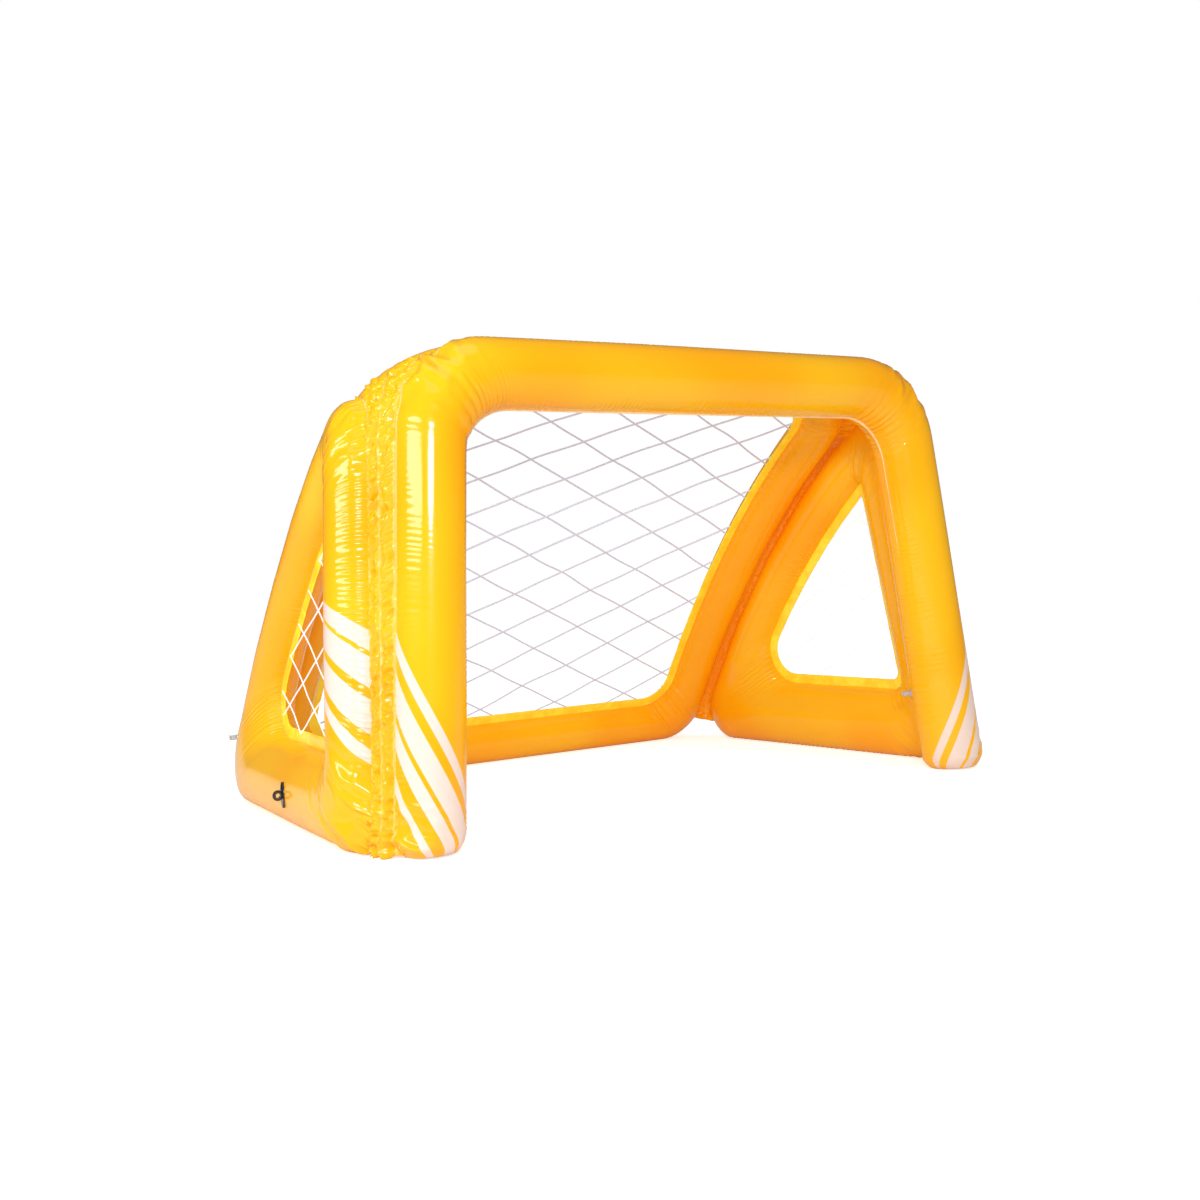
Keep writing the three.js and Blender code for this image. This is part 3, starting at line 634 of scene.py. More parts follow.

# %% [markdown]
# ## Vinyl
# The film is a glossy, slightly translucent yellow-orange PVC. Its colour drifts between yellow and
# orange with a soft noise, a painted orange glow stands in for the light that comes through it and lifts
# its shade, a very fine bump gives the faint orange peel of calendered film, and a coat gives the
# wet-looking gloss. Prints and weld lines are laid on the sheet's UV map, which is in metres.

# %% Vinyl materials
YELLOW = (1.0, 0.54, 0.008, 1)
ORANGE = (1.0, 0.43, 0.002, 1)
STRIPE_WHITE = (0.88, 0.75, 0.67, 1)
# The pale of the weld lines, also used for the painted highlight along the rings' inner weld.
WELD_PALE_AND_HIGHLIGHT = (1.0, 0.74, 0.34, 1)
# Painted light: an even orange glow on the film that lifts its shade.
PAINTED_GLOW_COLOUR = (1.0, 0.27, 0.0, 1)
PAINTED_GLOW_STRENGTH = 0.11
WELD_LINE = 0.0022
PRINT_EDGE = 0.0006


def within(value, low, high):
    """1 where a value lies between two edges, with an edge as sharp as a printed one."""
    above = value.ramp(low - PRINT_EDGE, low + PRINT_EDGE)
    return above * (1 - value.ramp(high - PRINT_EDGE, high + PRINT_EDGE))


def banded(value, bands):
    """The sum of several printed bands."""
    masks = [within(value, low, high) for low, high in bands]
    return sum(masks[1:], masks[0])


def vinyl(name, dressed=None):
    made, shader, start = material(name, Roughness=0.3, Specular_IOR_Level=0.2, Coat_Weight=0.55,
                                   Coat_Roughness=0.04, Emission_Strength=PAINTED_GLOW_STRENGTH)
    # The orange emission is painted light, a glow that lifts the film's shaded parts.
    shader.inputs["Emission Color"].default_value = PAINTED_GLOW_COLOUR
    drift = textured(start, 3.2, 1.0).ramp(0.35, 0.65)
    colour = drift.mixed(ORANGE, YELLOW)
    if dressed:
        sheet = start.node("ShaderNodeUVMap", uv_map="sheet")
        run, across = (sheet.node("ShaderNodeSeparateXYZ", {0: sheet}, out=k) for k in (0, 1))
        colour = dressed(run, across, colour)
    finished(start, shader, colour, (14.0, 0.10, 0.15), (textured(start, 420.0, 1.0), 0.00004))
    return made


SEAM_WIDTH, SEAM_LINE_SHARES, SEAM_LINE = 0.040, (0.12, 0.5, 0.88), 0.0008
SEAM_LINE_SHOW, WELD_LINE_SHOW = 0.3, 0.7


def seam_print(run, across, colour):
    """Three pale weld lines along the band."""
    middles = [share * SEAM_WIDTH for share in SEAM_LINE_SHARES]
    lines = banded(across, [(middle - SEAM_LINE, middle + SEAM_LINE) for middle in middles])
    return (lines * SEAM_LINE_SHOW).mixed(colour, WELD_PALE_AND_HIGHLIGHT)


weld_vinyl = vinyl("weld_vinyl", seam_print)
print("vinyl", weld_vinyl.name)

# %% [markdown]
# ## Air chambers
# A chamber's skin is a grid wrapped round its sections. Its long edges meet at the outer weld line, where
# they are merged. A ring's short edges meet too, and the arch's feet are closed by a face. What would lie
# below the ground is pressed flat on it, as the soft tube is. Stripes are printed on the outer half of
# the posts and of the side rings. Pale weld lines run along the outer welds, and on the rings a painted
# highlight runs along the inner weld.

# %% Chambers
FLOOR_GAP = 0.0002
POST_STRIPES = [(0.303, 0.333), (0.217, 0.275), (0.164, 0.203), (0.100, 0.125)]
LEG_STRIPES = [(1.598, 1.624), (1.631, 1.671), (1.685, 1.730), (1.747, 1.768)]
POST_STRIPE_SLOPE, LEG_STRIPE_SLOPE = 1.6, 0.25


def chamber(name, node, rows, closed, seed, comb, gathers=(), stripes=None):
    along = len(rows) if closed else len(rows) - 1
    closing = (rows[0]["centre"] - rows[-1]["centre"]).length
    runs = [row["run"] for row in rows] + [rows[-1]["run"] + closing]

    def place(i, share):
        row = rows[i % len(rows)]
        point, out = on_skin(row, share)
        point += out * wrinkle(row, share % 1, seed, comb, gathers)
        point.z = max(point.z, FLOOR_GAP)
        return point

    girth = max(math.pi * (row["half"] + row["depth"]) for row in rows)
    bm = wrapped_grid(along, ROUND_SIDES, place, (runs, girth))
    bmesh.ops.remove_doubles(bm, verts=bm.verts, dist=MERGE)
    if not closed:
        bmesh.ops.holes_fill(bm, edges=[edge for edge in bm.edges if edge.is_boundary])

    def chamber_print(run, across, colour):
        if stripes:
            colour = (stripes(run, across) * (across < girth / 2)).mixed(colour, STRIPE_WHITE)
        welded = (across < WELD_LINE) + (across > girth - WELD_LINE)
        # On the rings the pale line along the inner weld is a painted highlight; the outer lines are the
        # welds' own paler colour.
        inner = within(across, girth / 2 - WELD_LINE, girth / 2 + WELD_LINE)
        weld_lines_and_highlight = (welded + inner) if closed else welded
        return (weld_lines_and_highlight * WELD_LINE_SHOW).mixed(colour, WELD_PALE_AND_HIGHLIGHT)

    piece = new_object(name, closed_up(bm), vinyl(f"{name}_vinyl", chamber_print))
    print(name, len(piece.data.polygons), "faces")
    return belongs(piece, "goal", "vinyl", node)


def post_stripes(run, across):
    """Bands that start at the seam and fall towards the foot, alike on both posts."""
    from_foot = run.maths("MINIMUM", arch_run - run)
    return banded(from_foot + across * POST_STRIPE_SLOPE, POST_STRIPES)


def leg_stripes(run, across):
    return banded(run + across * LEG_STRIPE_SLOPE, LEG_STRIPES)


ARCH_COMB, REAR_COMB, SIDE_COMB = 0.25, 0.45, 1.0
FOOT_GATHER, SHOULDER_GATHER, PEAK_GATHER = (0.01, 0.07), (0.72, 0.05), (0.06, 0.05)
TOE_GATHERS, HEEL_GATHER_SPAN = [(0.0, 0.08), (0.05, 0.06)], 0.08
arch_run, side_run = arch_rows[-1]["run"], side_rows["left"][-1]["run"]
arch_gathers = []
for run, span in (FOOT_GATHER, SHOULDER_GATHER):
    arch_gathers += [(run, span), (arch_run - run, span)]
chamber("mouth_arch", "front_arch", arch_rows, False, 1.0, ARCH_COMB, arch_gathers, post_stripes)
chamber("rear_tube", "rear_ring", rear_rows, True, 2.0, REAR_COMB)
for name, seed in (("left", 3.0), ("right", 4.0)):
    peak_run = max(side_rows[name], key=lambda row: row["centre"].z)["run"]
    side_gathers = TOE_GATHERS + [(side_run, HEEL_GATHER_SPAN), (peak_run + PEAK_GATHER[0], PEAK_GATHER[1])]
    chamber(f"side_tube_{name}", f"side_ring_{name}", side_rows[name], True, seed, SIDE_COMB,
            side_gathers, leg_stripes)
    print(name, "peak at", round(peak_run, 3), "m of", round(side_run, 3))

# %% [markdown]
# ## The mouth's weld lip
# Round the inside of the mouth the two sheets' weld stands out as a narrow double lip, paler than the
# tube, and its peach tone and glow are a painted highlight. It is a strip from just under the tube's
# inner edge, with a small wave, given its thickness by solidify. It is narrow on the posts and reaches
# its full width on the way up to the corners.

# %% Mouth lip
LIP_WIDTH, LIP_TUCK, LIP_SHEET, LIP_STEPS = 0.0060, 0.003, 0.0012, 3
LIP_START, LIP_RISE, LIP_POST_SHARE = 0.02, 0.35, 0.12
LIP_WAVE, LIP_WAVE_LENGTH, LIP_SEED = 0.0010, 0.02, 51.0
# The lip's peach tone and glow are a painted highlight.
LIP_HIGHLIGHT_PEACH = (1.0, 0.60, 0.27, 1)
LIP_GLOW, BORDER_GLOW = 0.12, 0.22


def weld_film(name, dark, light, glow):
    made, shader, start = material(name, Roughness=0.25, Specular_IOR_Level=0.3, Coat_Weight=0.4,
                                   Coat_Roughness=0.1, Emission_Strength=glow)
    # The emission is painted light: the film glows in its lighter colour though no lamp lights it.
    shader.inputs["Emission Color"].default_value = light
    colour = clouded(start, 30.0, dark, light, 0.35)
    finished(start, shader, colour, (60.0, 0.2, 0.15), (textured(start, 240.0), 0.0002))
    return made


def mouth_lip():
    rows = [row for row in arch_rows if LIP_START < row["run"] < arch_run - LIP_START]

    def place(i, share):
        row = rows[i]
        wave = LIP_WAVE * wander(row["run"] / LIP_WAVE_LENGTH, LIP_SEED, 0.5) * share
        up_the_post = (min(row["run"], arch_run - row["run"]) - LIP_RISE) / LIP_RISE
        width = LIP_WIDTH * share * min(max(up_the_post, LIP_POST_SHARE), 1.0)
        return row["centre"] - row["reach"] * (row["half"] - LIP_TUCK + width) + row["lift"] * wave

    bm = wrapped_grid(len(rows) - 1, LIP_STEPS, place, ([row["run"] for row in rows], LIP_WIDTH))
    return belongs(new_object("mouth_lip", solid_sheet(bm, LIP_SHEET), lip_film), "goal", "weld")


lip_film = weld_film("lip_film", WELD_PALE_AND_HIGHLIGHT, LIP_HIGHLIGHT_PEACH, LIP_GLOW)
print("lip", len(mouth_lip().data.polygons), "faces")

# %% [markdown]
# ## Welded borders
# The inner welds run out into a flat border of two sheets, which holds the net. The border is thin and
# lets light through. Its yellow is a little paler than the tubes', and a painted glow brightens it more,
# also where it lies in shade. Its free edge waves a little, because the weld shrank it. Each wave is kept
# as its height, its length along the border and its layer of the noise.

# %% Borders
BORDER_STEPS, BORDER_SHEET, BORDER_TUCK = 5, 0.0010, 0.004
BORDER_WAVE, BORDER_LONG_WAVE = (0.0007, 0.016, 0.0), (0.0009, 0.045, 3.0)
BORDER_SCALLOP = (0.0005, 0.03, 7.0)
BORDER_YELLOW, BORDER_PALE_AND_GLOW = (1.0, 0.60, 0.010, 1), (1.0, 0.80, 0.04, 1)
# The border's glow is painted light that brightens it in shade.
border_film = weld_film("border_film", BORDER_YELLOW, BORDER_PALE_AND_GLOW, BORDER_GLOW)


def loop_runs(points, closed):
    runs = [0.0]
    following = points[1:] + points[:1] if closed else points[1:]
    for here, there in zip(points, following):
        runs.append(runs[-1] + (there - here).length)
    return runs


def waved(run, seed, wave):
    height, length, layer = wave
    return height * wander(run / length, seed, layer)


def border(name, node, inner, hole, on_panel, seed):
    weld = averaged([on_panel(*place) for place, _, _ in inner], True)
    free = averaged([on_panel(*place) for place, _, _ in hole], True)
    out = [(on_panel(place.x, place.y, PROBE) - on_panel(place.x, place.y)) / PROBE for place, _, _ in hole]
    runs = loop_runs(weld, True)

    def place(i, share):
        k = i % len(weld)
        run, into = runs[k], (free[k] - weld[k]).normalized()
        edge = weld[k] - into * BORDER_TUCK
        wave = waved(run, seed, BORDER_WAVE) + waved(run, seed, BORDER_LONG_WAVE)
        scallop = waved(run, seed, BORDER_SCALLOP) * share
        return edge.lerp(free[k] + into * scallop, share) + out[k] * wave * share

    bm = wrapped_grid(len(weld), BORDER_STEPS, place, (runs, FLANGE))
    bmesh.ops.remove_doubles(bm, verts=bm.verts, dist=MERGE)
    return belongs(new_object(name, solid_sheet(bm, BORDER_SHEET), border_film), "goal", "weld", node)


def tighter(turns, by):
    return {key: max(value - by, CORD) for key, value in turns.items()}


def side_inset(extra):
    return side_corners(SIDE_TUBE + extra, SIDE_BASE_TUBE + SUNK + extra, SIDE_BACK_TUBE + extra,
                        tighter(SIDE_INNER_TURNS, extra))


def rear_inset(extra):
    return rear_corners(REAR_TUBE + extra, REAR_INNER_FOOT_TURN - extra, REAR_INNER_HEAD_TURN - extra)


rear_hole, _ = walk(rear_inset(FLANGE), True, rear_counts)
side_hole, _ = walk(side_inset(FLANGE), True, side_counts)
border("rear_border", "rear_net_border", rear_inner, rear_hole, rear_panel, 11.0)
for name, side in SIDES:
    border(f"side_border_{name}", f"side_net_border_{name}", side_inner, side_hole, side_panel(side),
           12.0 + side)
print("borders made")

# %% [markdown]
# ## Nets
# A net is two families of thin cords that cross and are bonded where they meet. Each cord is a straight
# line on the flat pattern, cut at the net's outline and bent on to the panel. One shared field of small
# shifts moves both families alike, so that they still cross in the same places. Curves with a round bevel
# make the cords. A net's sizes are its mesh's width and height and the place of one crossing.

# %% Nets
REAR_MESH, SIDE_MESH = (0.189, 0.0985, Vector((-0.054, 0.183))), (0.147, 0.086, Vector((-0.054, 0.282)))
REAR_CORD_RADIUS, SIDE_CORD_RADIUS = 0.0018, 0.0012
CORD_PITCH, SHORTEST_CORD, CORD_ROWS = 0.014, 0.012, 14
NET_GRIP, NET_LIFT, NET_WEAVE = 0.006, 0.0026, 0.0007
NET_DRIFT, NET_DRIFT_SCALE = 0.0035, 9
NET_SAG, NET_SAG_SCALE, NET_SAG_REACH = 0.004, 3, 0.05
PARALLEL = 1e-12


def cord_material(name, light, dark, glow):
    made, shader, start = material(name, Roughness=0.6, Emission_Strength=glow)
    shader.inputs["Emission Color"].default_value = light
    fibre = textured(start, 900.0)
    finished(start, shader, fibre.ramp(0.3, 0.7).mixed(dark, light), None, (fibre, 0.0002))
    return made


# The cords' glow is painted light that keeps them pale against the orange light bounced on to them.
rear_cord = cord_material("rear_net_cord", (0.64, 0.66, 0.78, 1), (0.52, 0.54, 0.66, 1), 0.26)
side_cord = cord_material("side_net_cord", (0.93, 0.92, 0.94, 1), (0.80, 0.79, 0.82, 1), 0.45)


def crossings(edge, origin, way):
    """Where a line cuts an outline, as distances along it."""
    found = []
    for here, there in zip(edge, edge[1:] + edge[:1]):
        side = there - here
        turned = way.cross(side)
        if abs(turned) < PARALLEL:
            continue
        share = (origin - here).cross(way) / side.cross(way)
        if 0 <= share < 1:
            found.append((here + side * share - origin).dot(way))
    return sorted(found)


def strand(flat, on_panel, seed, weave, slack):
    """A point of a cord: shifted on the flat pattern, then lifted off the panel by its weave and sag."""
    x, y = flat.x * NET_DRIFT_SCALE, flat.y * NET_DRIFT_SCALE
    moved = flat + Vector((wander(x, y, seed), wander(x, y, seed + 4))) * NET_DRIFT
    sag = -NET_SAG * wander(moved.x * NET_SAG_SCALE, moved.y * NET_SAG_SCALE, seed + 9) * slack
    return on_panel(moved.x, moved.y, NET_LIFT + weave + sag)


def net(name, node, edge, mesh, on_panel, seed, cord, radius):
    across, up, knot = mesh
    angle = math.atan2(up, across)
    step = across * math.sin(angle)
    data = bpy.data.curves.new(name, "CURVE")
    data.dimensions = "3D"
    data.bevel_depth, data.bevel_resolution, data.use_fill_caps = radius, 2, True
    total = 0.0
    for family in (1, -1):
        way = Vector((math.cos(angle), math.sin(angle) * family))
        aside = Vector((-way.y, way.x))
        for i in range(-CORD_ROWS, CORD_ROWS + 1):
            origin = knot + aside * step * i
            cuts = crossings(edge, origin, way)
            for start, end in zip(cuts[::2], cuts[1::2]):
                if end - start < SHORTEST_CORD:
                    continue
                count = max(2, round((end - start) / CORD_PITCH))
                spline = data.splines.new("POLY")
                spline.points.add(count)
                for k, point in enumerate(spline.points):
                    along = start + (end - start) * k / count
                    inside = min(along - start, end - along)
                    weave = NET_WEAVE * family * math.cos(math.pi * inside / step)
                    slack = min(1, inside / NET_SAG_REACH)
                    point.co = (*strand(origin + way * along, on_panel, seed, weave, slack), 1)
                total += end - start
    piece = linked(name, data)
    data.materials.append(cord)
    print(name, len(data.splines), "cords,", round(total, 2), "m in all")
    return belongs(piece, "goal", "net_cord", node)


rear_edge = [place for place, _, _ in walk(rear_inset(FLANGE - NET_GRIP), True, rear_counts)[0]]
side_edge = [place for place, _, _ in walk(side_inset(FLANGE - NET_GRIP), True, side_counts)[0]]
net("rear_cords", "rear_net", rear_edge, REAR_MESH, rear_panel, 21.0, rear_cord, REAR_CORD_RADIUS)
for name, side in SIDES:
    net(f"side_cords_{name}", f"side_net_{name}", side_edge, SIDE_MESH, side_panel(side), 22.0 + side,
        side_cord, SIDE_CORD_RADIUS)

# %% [markdown]
# ## Seams
# Where two chambers touch, their outer welds are bonded into one band. It stands proud between the tubes,
# because both of them push it out, and carries a raised weld line in its middle and one near each edge.
# Between the lines the film is gathered into small sharp folds, which are ridged noise here, and at both
# ends it is bunched up more. A seam's two rails run along the chambers' outer welds.

# %% Seams
SEAM_COLUMNS, SEAM_SHEET, SEAM_ROOT = 30, 0.0012, 0.009
BUNCH, BUNCH_REACH = 1.5, 0.045
BEAD_HEIGHT, BEAD_WIDTH = 0.0022, 0.0020
FLAT_BY_LINE, FLAT_WIDTH = 0.18, 0.0065
SEAM_FOLD, SEAM_SMALL_FOLD = (0.021, 0.022), (0.009, 3.2)
SEAM_SMALL_FOLD_SHARE, FOLD_SHARE, PINCH_SHARE = 0.5, 0.55, 0.5
BULGE_POWER, EDGE_RISE = 0.6, 5
heart = Vector((0, 0, HEIGHT / 2))


def matched(points, count):
    """The same line with count + 1 evenly spaced points."""
    runs = loop_runs(points, False)
    even, k = [], 0
    for i in range(count + 1):
        run = runs[-1] * i / count
        while k < len(runs) - 2 and runs[k + 1] < run:
            k += 1
        part = (run - runs[k]) / (runs[k + 1] - runs[k])
        even.append(points[k].lerp(points[k + 1], min(max(part, 0.0), 1.0)))
    return even


def seam(name, node, rail_a, rail_b, seed, bulge, crumple):
    count = round(loop_runs(rail_a, False)[-1] / STOP_PITCH)
    rail_a, rail_b = matched(rail_a, count), matched(rail_b, count)
    runs = loop_runs(rail_a, False)

    def place(i, share):
        a, b = rail_a[i], rail_b[i]
        along = rail_a[min(i + 1, count)] - rail_a[max(i - 1, 0)]
        up = (b - a).cross(along).normalized()
        if up.dot(a - heart) < 0:
            up.negate()
        run, middle = runs[i], math.sin(math.pi * share)
        width = (b - a).length
        off_lines = [abs(share - line) * width for line in SEAM_LINE_SHARES]
        bead = BEAD_HEIGHT * sum(fade(off, BEAD_WIDTH, 2) for off in off_lines)
        lined = min(1.0, FLAT_BY_LINE + min(off_lines) / FLAT_WIDTH)
        lined *= 1 + BUNCH * (fade(run, BUNCH_REACH, 1) + fade(runs[-1] - run, BUNCH_REACH, 1))
        folds = crumpled(run, share * width, SEAM_FOLD, seed)
        along_fold, folds_across = SEAM_SMALL_FOLD
        folds += SEAM_SMALL_FOLD_SHARE * creased(run / along_fold, share * folds_across, seed + 2)
        pinch = PINCH_SHARE * dents(run, PUCKER_PITCH, seed) * abs(share - 0.5) * 2
        crinkle = crumple * (FOLD_SHARE * folds + pinch) * lined * min(1.0, EDGE_RISE * middle)
        point = a.lerp(b, share) + up * (bulge * middle ** BULGE_POWER + bead + crinkle)
        point.z = max(point.z, SEAM_SHEET)
        return point

    bm = wrapped_grid(count, SEAM_COLUMNS, place, (runs, SEAM_WIDTH))
    piece = new_object(name, solid_sheet(bm, SEAM_SHEET), weld_vinyl)
    print(name, round(runs[-1], 3), "m long,", len(piece.data.polygons), "faces")
    return belongs(piece, "goal", "weld", node)


def line_on(on_panel, stops, test):
    return [on_panel(*place) for place, _, _ in stops if test(place)]


def rail_up(on_panel, stops, low, high, test):
    """A rail's points between two heights on the pattern, from the lowest to the highest."""
    points = line_on(on_panel, stops, lambda place: low < place.y < high and test(place))
    return sorted(points, key=lambda point: point.z)


post_root, _ = walk(arch_corners(SEAM_ROOT, ARCH_TURN - SEAM_ROOT), False)
ring_root, _ = walk(rear_corners(SEAM_ROOT, REAR_FOOT_TURN - SEAM_ROOT, REAR_HEAD_TURN - SEAM_ROOT), True)
side_root, _ = walk(side_corners(SEAM_ROOT, SEAM_ROOT, SEAM_ROOT, SIDE_TURNS), True)
POST_WELD_TOP, LEG_WELD_TOP, RING_WELD_DROP = 0.768, 0.706, 0.05
POST_WELD_FOOT, LEG_WELD_FOOT, RING_WELD_FOOT, BACK_WELD_FOOT = 0.006, 0.012, 0.0, 0.030
OUTWARD, LEG_DEPTH = 0.3, 0.060
FRONT_BULGE, FRONT_CRUMPLE = 0.010, 0.0075
BACK_BULGE, BACK_CRUMPLE = 0.006, 0.0024
TOP_BULGE, TOP_CRUMPLE = 0.004, 0.0022
for name, side in SIDES:
    on_side = side_panel(side)
    outward = lambda place: place.x * side > OUTWARD
    post_rail = rail_up(front_panel, post_root, POST_WELD_FOOT, POST_WELD_TOP, outward)
    leg_rail = rail_up(on_side, side_root, LEG_WELD_FOOT, LEG_WELD_TOP,
                       lambda place: place.x < seam_y(place.y) + LEG_DEPTH)
    seam(f"front_weld_{name}", f"seam_front_{name}", post_rail, leg_rail, 31.0 + side, FRONT_BULGE,
         FRONT_CRUMPLE)
    ring_rail = rail_up(rear_panel, ring_root, RING_WELD_FOOT, back_length - RING_WELD_DROP, outward)
    back_rail = rail_up(on_side, side_root, BACK_WELD_FOOT, LEG_WELD_TOP,
                        lambda place: place.x > seam_y(place.y) + LEG_DEPTH)
    seam(f"back_weld_{name}", f"seam_back_{name}", ring_rail, back_rail, 33.0 + side, BACK_BULGE,
         BACK_CRUMPLE)

ARCH_TOP_START = crossbar_height + front_radius - ARCH_TURN
REAR_TOP_START = back_length + rear_radius - REAR_HEAD_TURN
arch_top = line_on(front_panel, post_root, lambda p: p.y > ARCH_TOP_START)
rear_top = line_on(rear_panel, ring_root, lambda p: p.y > REAR_TOP_START)
seam("top_weld", "seam_top", arch_top, rear_top, 35.0, TOP_BULGE, TOP_CRUMPLE)

# %% [markdown]
# ## Air valves
# Each chamber is filled through a soft clear valve: a collar welded to the skin, a stem that is pushed in
# when the chamber is full, a plug on a strap and a flap that holds the air while the plug is out. All but
# the strap and the flap are turned shapes, so each is a profile spun round the valve's axis. The joints
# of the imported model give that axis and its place. Every piece rides on the body that it moves with. The
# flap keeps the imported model's mesh.

# %% Valves
STEM, STEM_BORE, STEM_RISE, STEM_DROP = 0.0096, 0.0060, 0.0174, 0.015
STEM_STOP, STEM_STOP_THICK = 0.014, 0.0014
COLLAR, COLLAR_THICK, COLLAR_NECK, COLLAR_NECK_RISE, COLLAR_ROOT = 0.024, 0.0016, 0.015, 0.001, 0.0024
PLUG_HEAD, PLUG_HEAD_THICK, PLUG_SHANK, PLUG_TIP, PLUG_LENGTH = 0.010, 0.0022, 0.0054, 0.0026, 0.004
STRAP_WIDTH, STRAP_HINGE, STRAP_END, STRAP_THICK = 0.0036, 0.0066, 0.0008, 0.0012
COLLAR_ROUND, STEM_ROUND, STRAP_ROUND = 0.0006, 0.0005, 0.0004
GAP, TURN_STEPS = 0.0003, 40


def clear_film():
    made, shader, start = material("clear_valve_vinyl", Roughness=0.12, Transmission_Weight=0.55, IOR=1.42,
                                   Coat_Weight=0.6, Coat_Roughness=0.05)
    colour = clouded(start, 260.0, (0.70, 0.74, 0.80, 1), (0.90, 0.92, 0.95, 1))
    finished(start, shader, colour, (500.0, 0.1, 0.06), (textured(start, 900.0), 0.0001))
    return made


def spun(profile, rounding):
    """A closed profile of radius and height pairs, its corners rounded, spun once round the axis."""
    bm = bmesh.new()
    verts = [bm.verts.new((radius, 0, height)) for radius, height in profile]
    for pair in zip(verts, verts[1:] + verts[:1]):
        if pair[0].co.x or pair[1].co.x:
            bm.edges.new(pair)
    corners = [vert for vert in verts if vert.co.x]
    bmesh.ops.bevel(bm, geom=corners, offset=rounding, segments=3, profile=0.5, affect="VERTICES",
                    material=-1)
    bmesh.ops.spin(bm, geom=list(bm.verts) + list(bm.edges), axis=(0, 0, 1), cent=(0, 0, 0),
                   angle=2 * math.pi, steps=TURN_STEPS, use_merge=True)
    return closed_up(bm)


def placed(name, bm, stand, skin, body, slot, node):
    bmesh.ops.transform(bm, matrix=stand, verts=bm.verts)
    return belongs(new_object(name, bm, skin), body, slot, node)


def valve_frame(valve):
    out = -Vector(joints[f"{valve}_stem_slide"]["axis"])
    hinge = joints[f"{valve}_plug_hinge"]
    aside = Vector(hinge["axis"])
    up = aside.cross(out)
    foot = Vector(hinge["pos_m"]) - up * STRAP_HINGE - out * (STEM_RISE + GAP)
    return Matrix.Translation(foot) @ Matrix((up, aside, out)).transposed().to_4x4()


def plug_mesh():
    foot = STEM_RISE + GAP
    head, shank, tip = PLUG_HEAD / 2, PLUG_SHANK / 2, PLUG_TIP / 2
    bm = spun([(0, foot - PLUG_LENGTH), (tip, foot - PLUG_LENGTH), (shank, foot - GAP), (shank, foot),
               (head, foot), (head, foot + PLUG_HEAD_THICK), (0, foot + PLUG_HEAD_THICK)], STEM_ROUND)
    reach = STRAP_HINGE + STRAP_END
    strap = Matrix.Translation((reach / 2, 0, foot + PLUG_HEAD_THICK / 2))
    strap = strap @ Matrix.Diagonal((reach, STRAP_WIDTH, STRAP_THICK, 1))
    cube = bmesh.ops.create_cube(bm, size=1, matrix=strap)
    edges = list({edge for vert in cube["verts"] for edge in vert.link_edges})
    bmesh.ops.bevel(bm, geom=edges, offset=STRAP_ROUND, segments=2, profile=0.5, affect="EDGES", material=-1)
    return bm


def valve(name, clear):
    stand = valve_frame(name)
    bore, wall, stop, rim = STEM_BORE / 2, STEM / 2, STEM_STOP / 2, COLLAR / 2
    collar = spun([(wall + GAP, -COLLAR_ROOT), (rim, -COLLAR_ROOT), (rim, COLLAR_THICK),
                   (COLLAR_NECK / 2, COLLAR_THICK), (COLLAR_NECK / 2, COLLAR_THICK + COLLAR_NECK_RISE),
                   (wall + GAP, COLLAR_THICK + COLLAR_NECK_RISE)], COLLAR_ROUND)
    stem = spun([(bore, -STEM_DROP), (stop, -STEM_DROP), (stop, STEM_STOP_THICK - STEM_DROP),
                 (wall, STEM_STOP_THICK - STEM_DROP), (wall, STEM_RISE), (bore, STEM_RISE)], STEM_ROUND)
    placed(f"{name}_collar", collar, stand, clear, "goal", "clear_vinyl", f"{name}_valve_collar")
    for part, bm in (("stem", stem), ("plug", plug_mesh())):
        node = f"{name}_valve_{part}"
        placed(f"{name}_{part}", bm, stand, clear, node, "clear_vinyl", node)
    flap = frame["nodes"][f"{name}_valve_flap"]
    for slot in flap.material_slots:
        slot.material = clear
    return stand.translation


clear = clear_film()
for name in ("front", "rear", "left_side", "right_side"):
    print(name, "valve at", [round(v, 3) for v in valve(name, clear)])

# %% [markdown]
# ## Tether eyelets
# Low on each side a pointed black patch is welded to the tube. A round lug stands out of it, and its eye
# has a plated ring of two rims. The patch is a disc drawn out to a lens, the lug and the ring are spun,
# and a bevel softens the patch's edges.

# %% Eyelets
PATCH_LENGTH, PATCH_WIDTH, PATCH_THICK, PATCH_ROOT = 0.044, 0.022, 0.0016, 0.003
PATCH_STEPS, SOFT_EDGE = 64, 0.0004
LUG, LUG_THICK, LUG_ROUND = 0.018, 0.003, 0.0006
RING_BORE, RING_WALL, RING_RIM, RING_RIM_THICK, RING_ROUND = 0.0076, 0.0008, 0.0124, 0.0007, 0.0002
LUG_STAND = PATCH_THICK + RING_RIM / 2 + 2 * GAP
EYELET_BACK, EYELET_TURN = 0.380, 0.23


def black_film():
    made, shader, start = material("black_patch", Roughness=0.3, Coat_Weight=0.5, Coat_Roughness=0.12)
    colour = clouded(start, 300.0, (0.004, 0.004, 0.005, 1), (0.012, 0.012, 0.014, 1))
    finished(start, shader, colour, (500.0, 0.2, 0.2), (textured(start, 700.0), 0.0002))
    return made


def plated():
    made, shader, start = material("plated_ring", Metallic=1.0, Roughness=0.2)
    colour = clouded(start, 400.0, (0.10, 0.10, 0.11, 1), (0.20, 0.20, 0.21, 1))
    finished(start, shader, colour, (600.0, 0.15, 0.12), None)
    return made


def skin_frame(row, turn, across):
    """Where a small piece stands on a tube: its own x runs across, its z out of the skin."""
    point, out = on_skin(row, turn)
    aside = (across - out * across.dot(out)).normalized()
    return Matrix.Translation(point) @ Matrix((aside, out.cross(aside), out)).transposed().to_4x4()


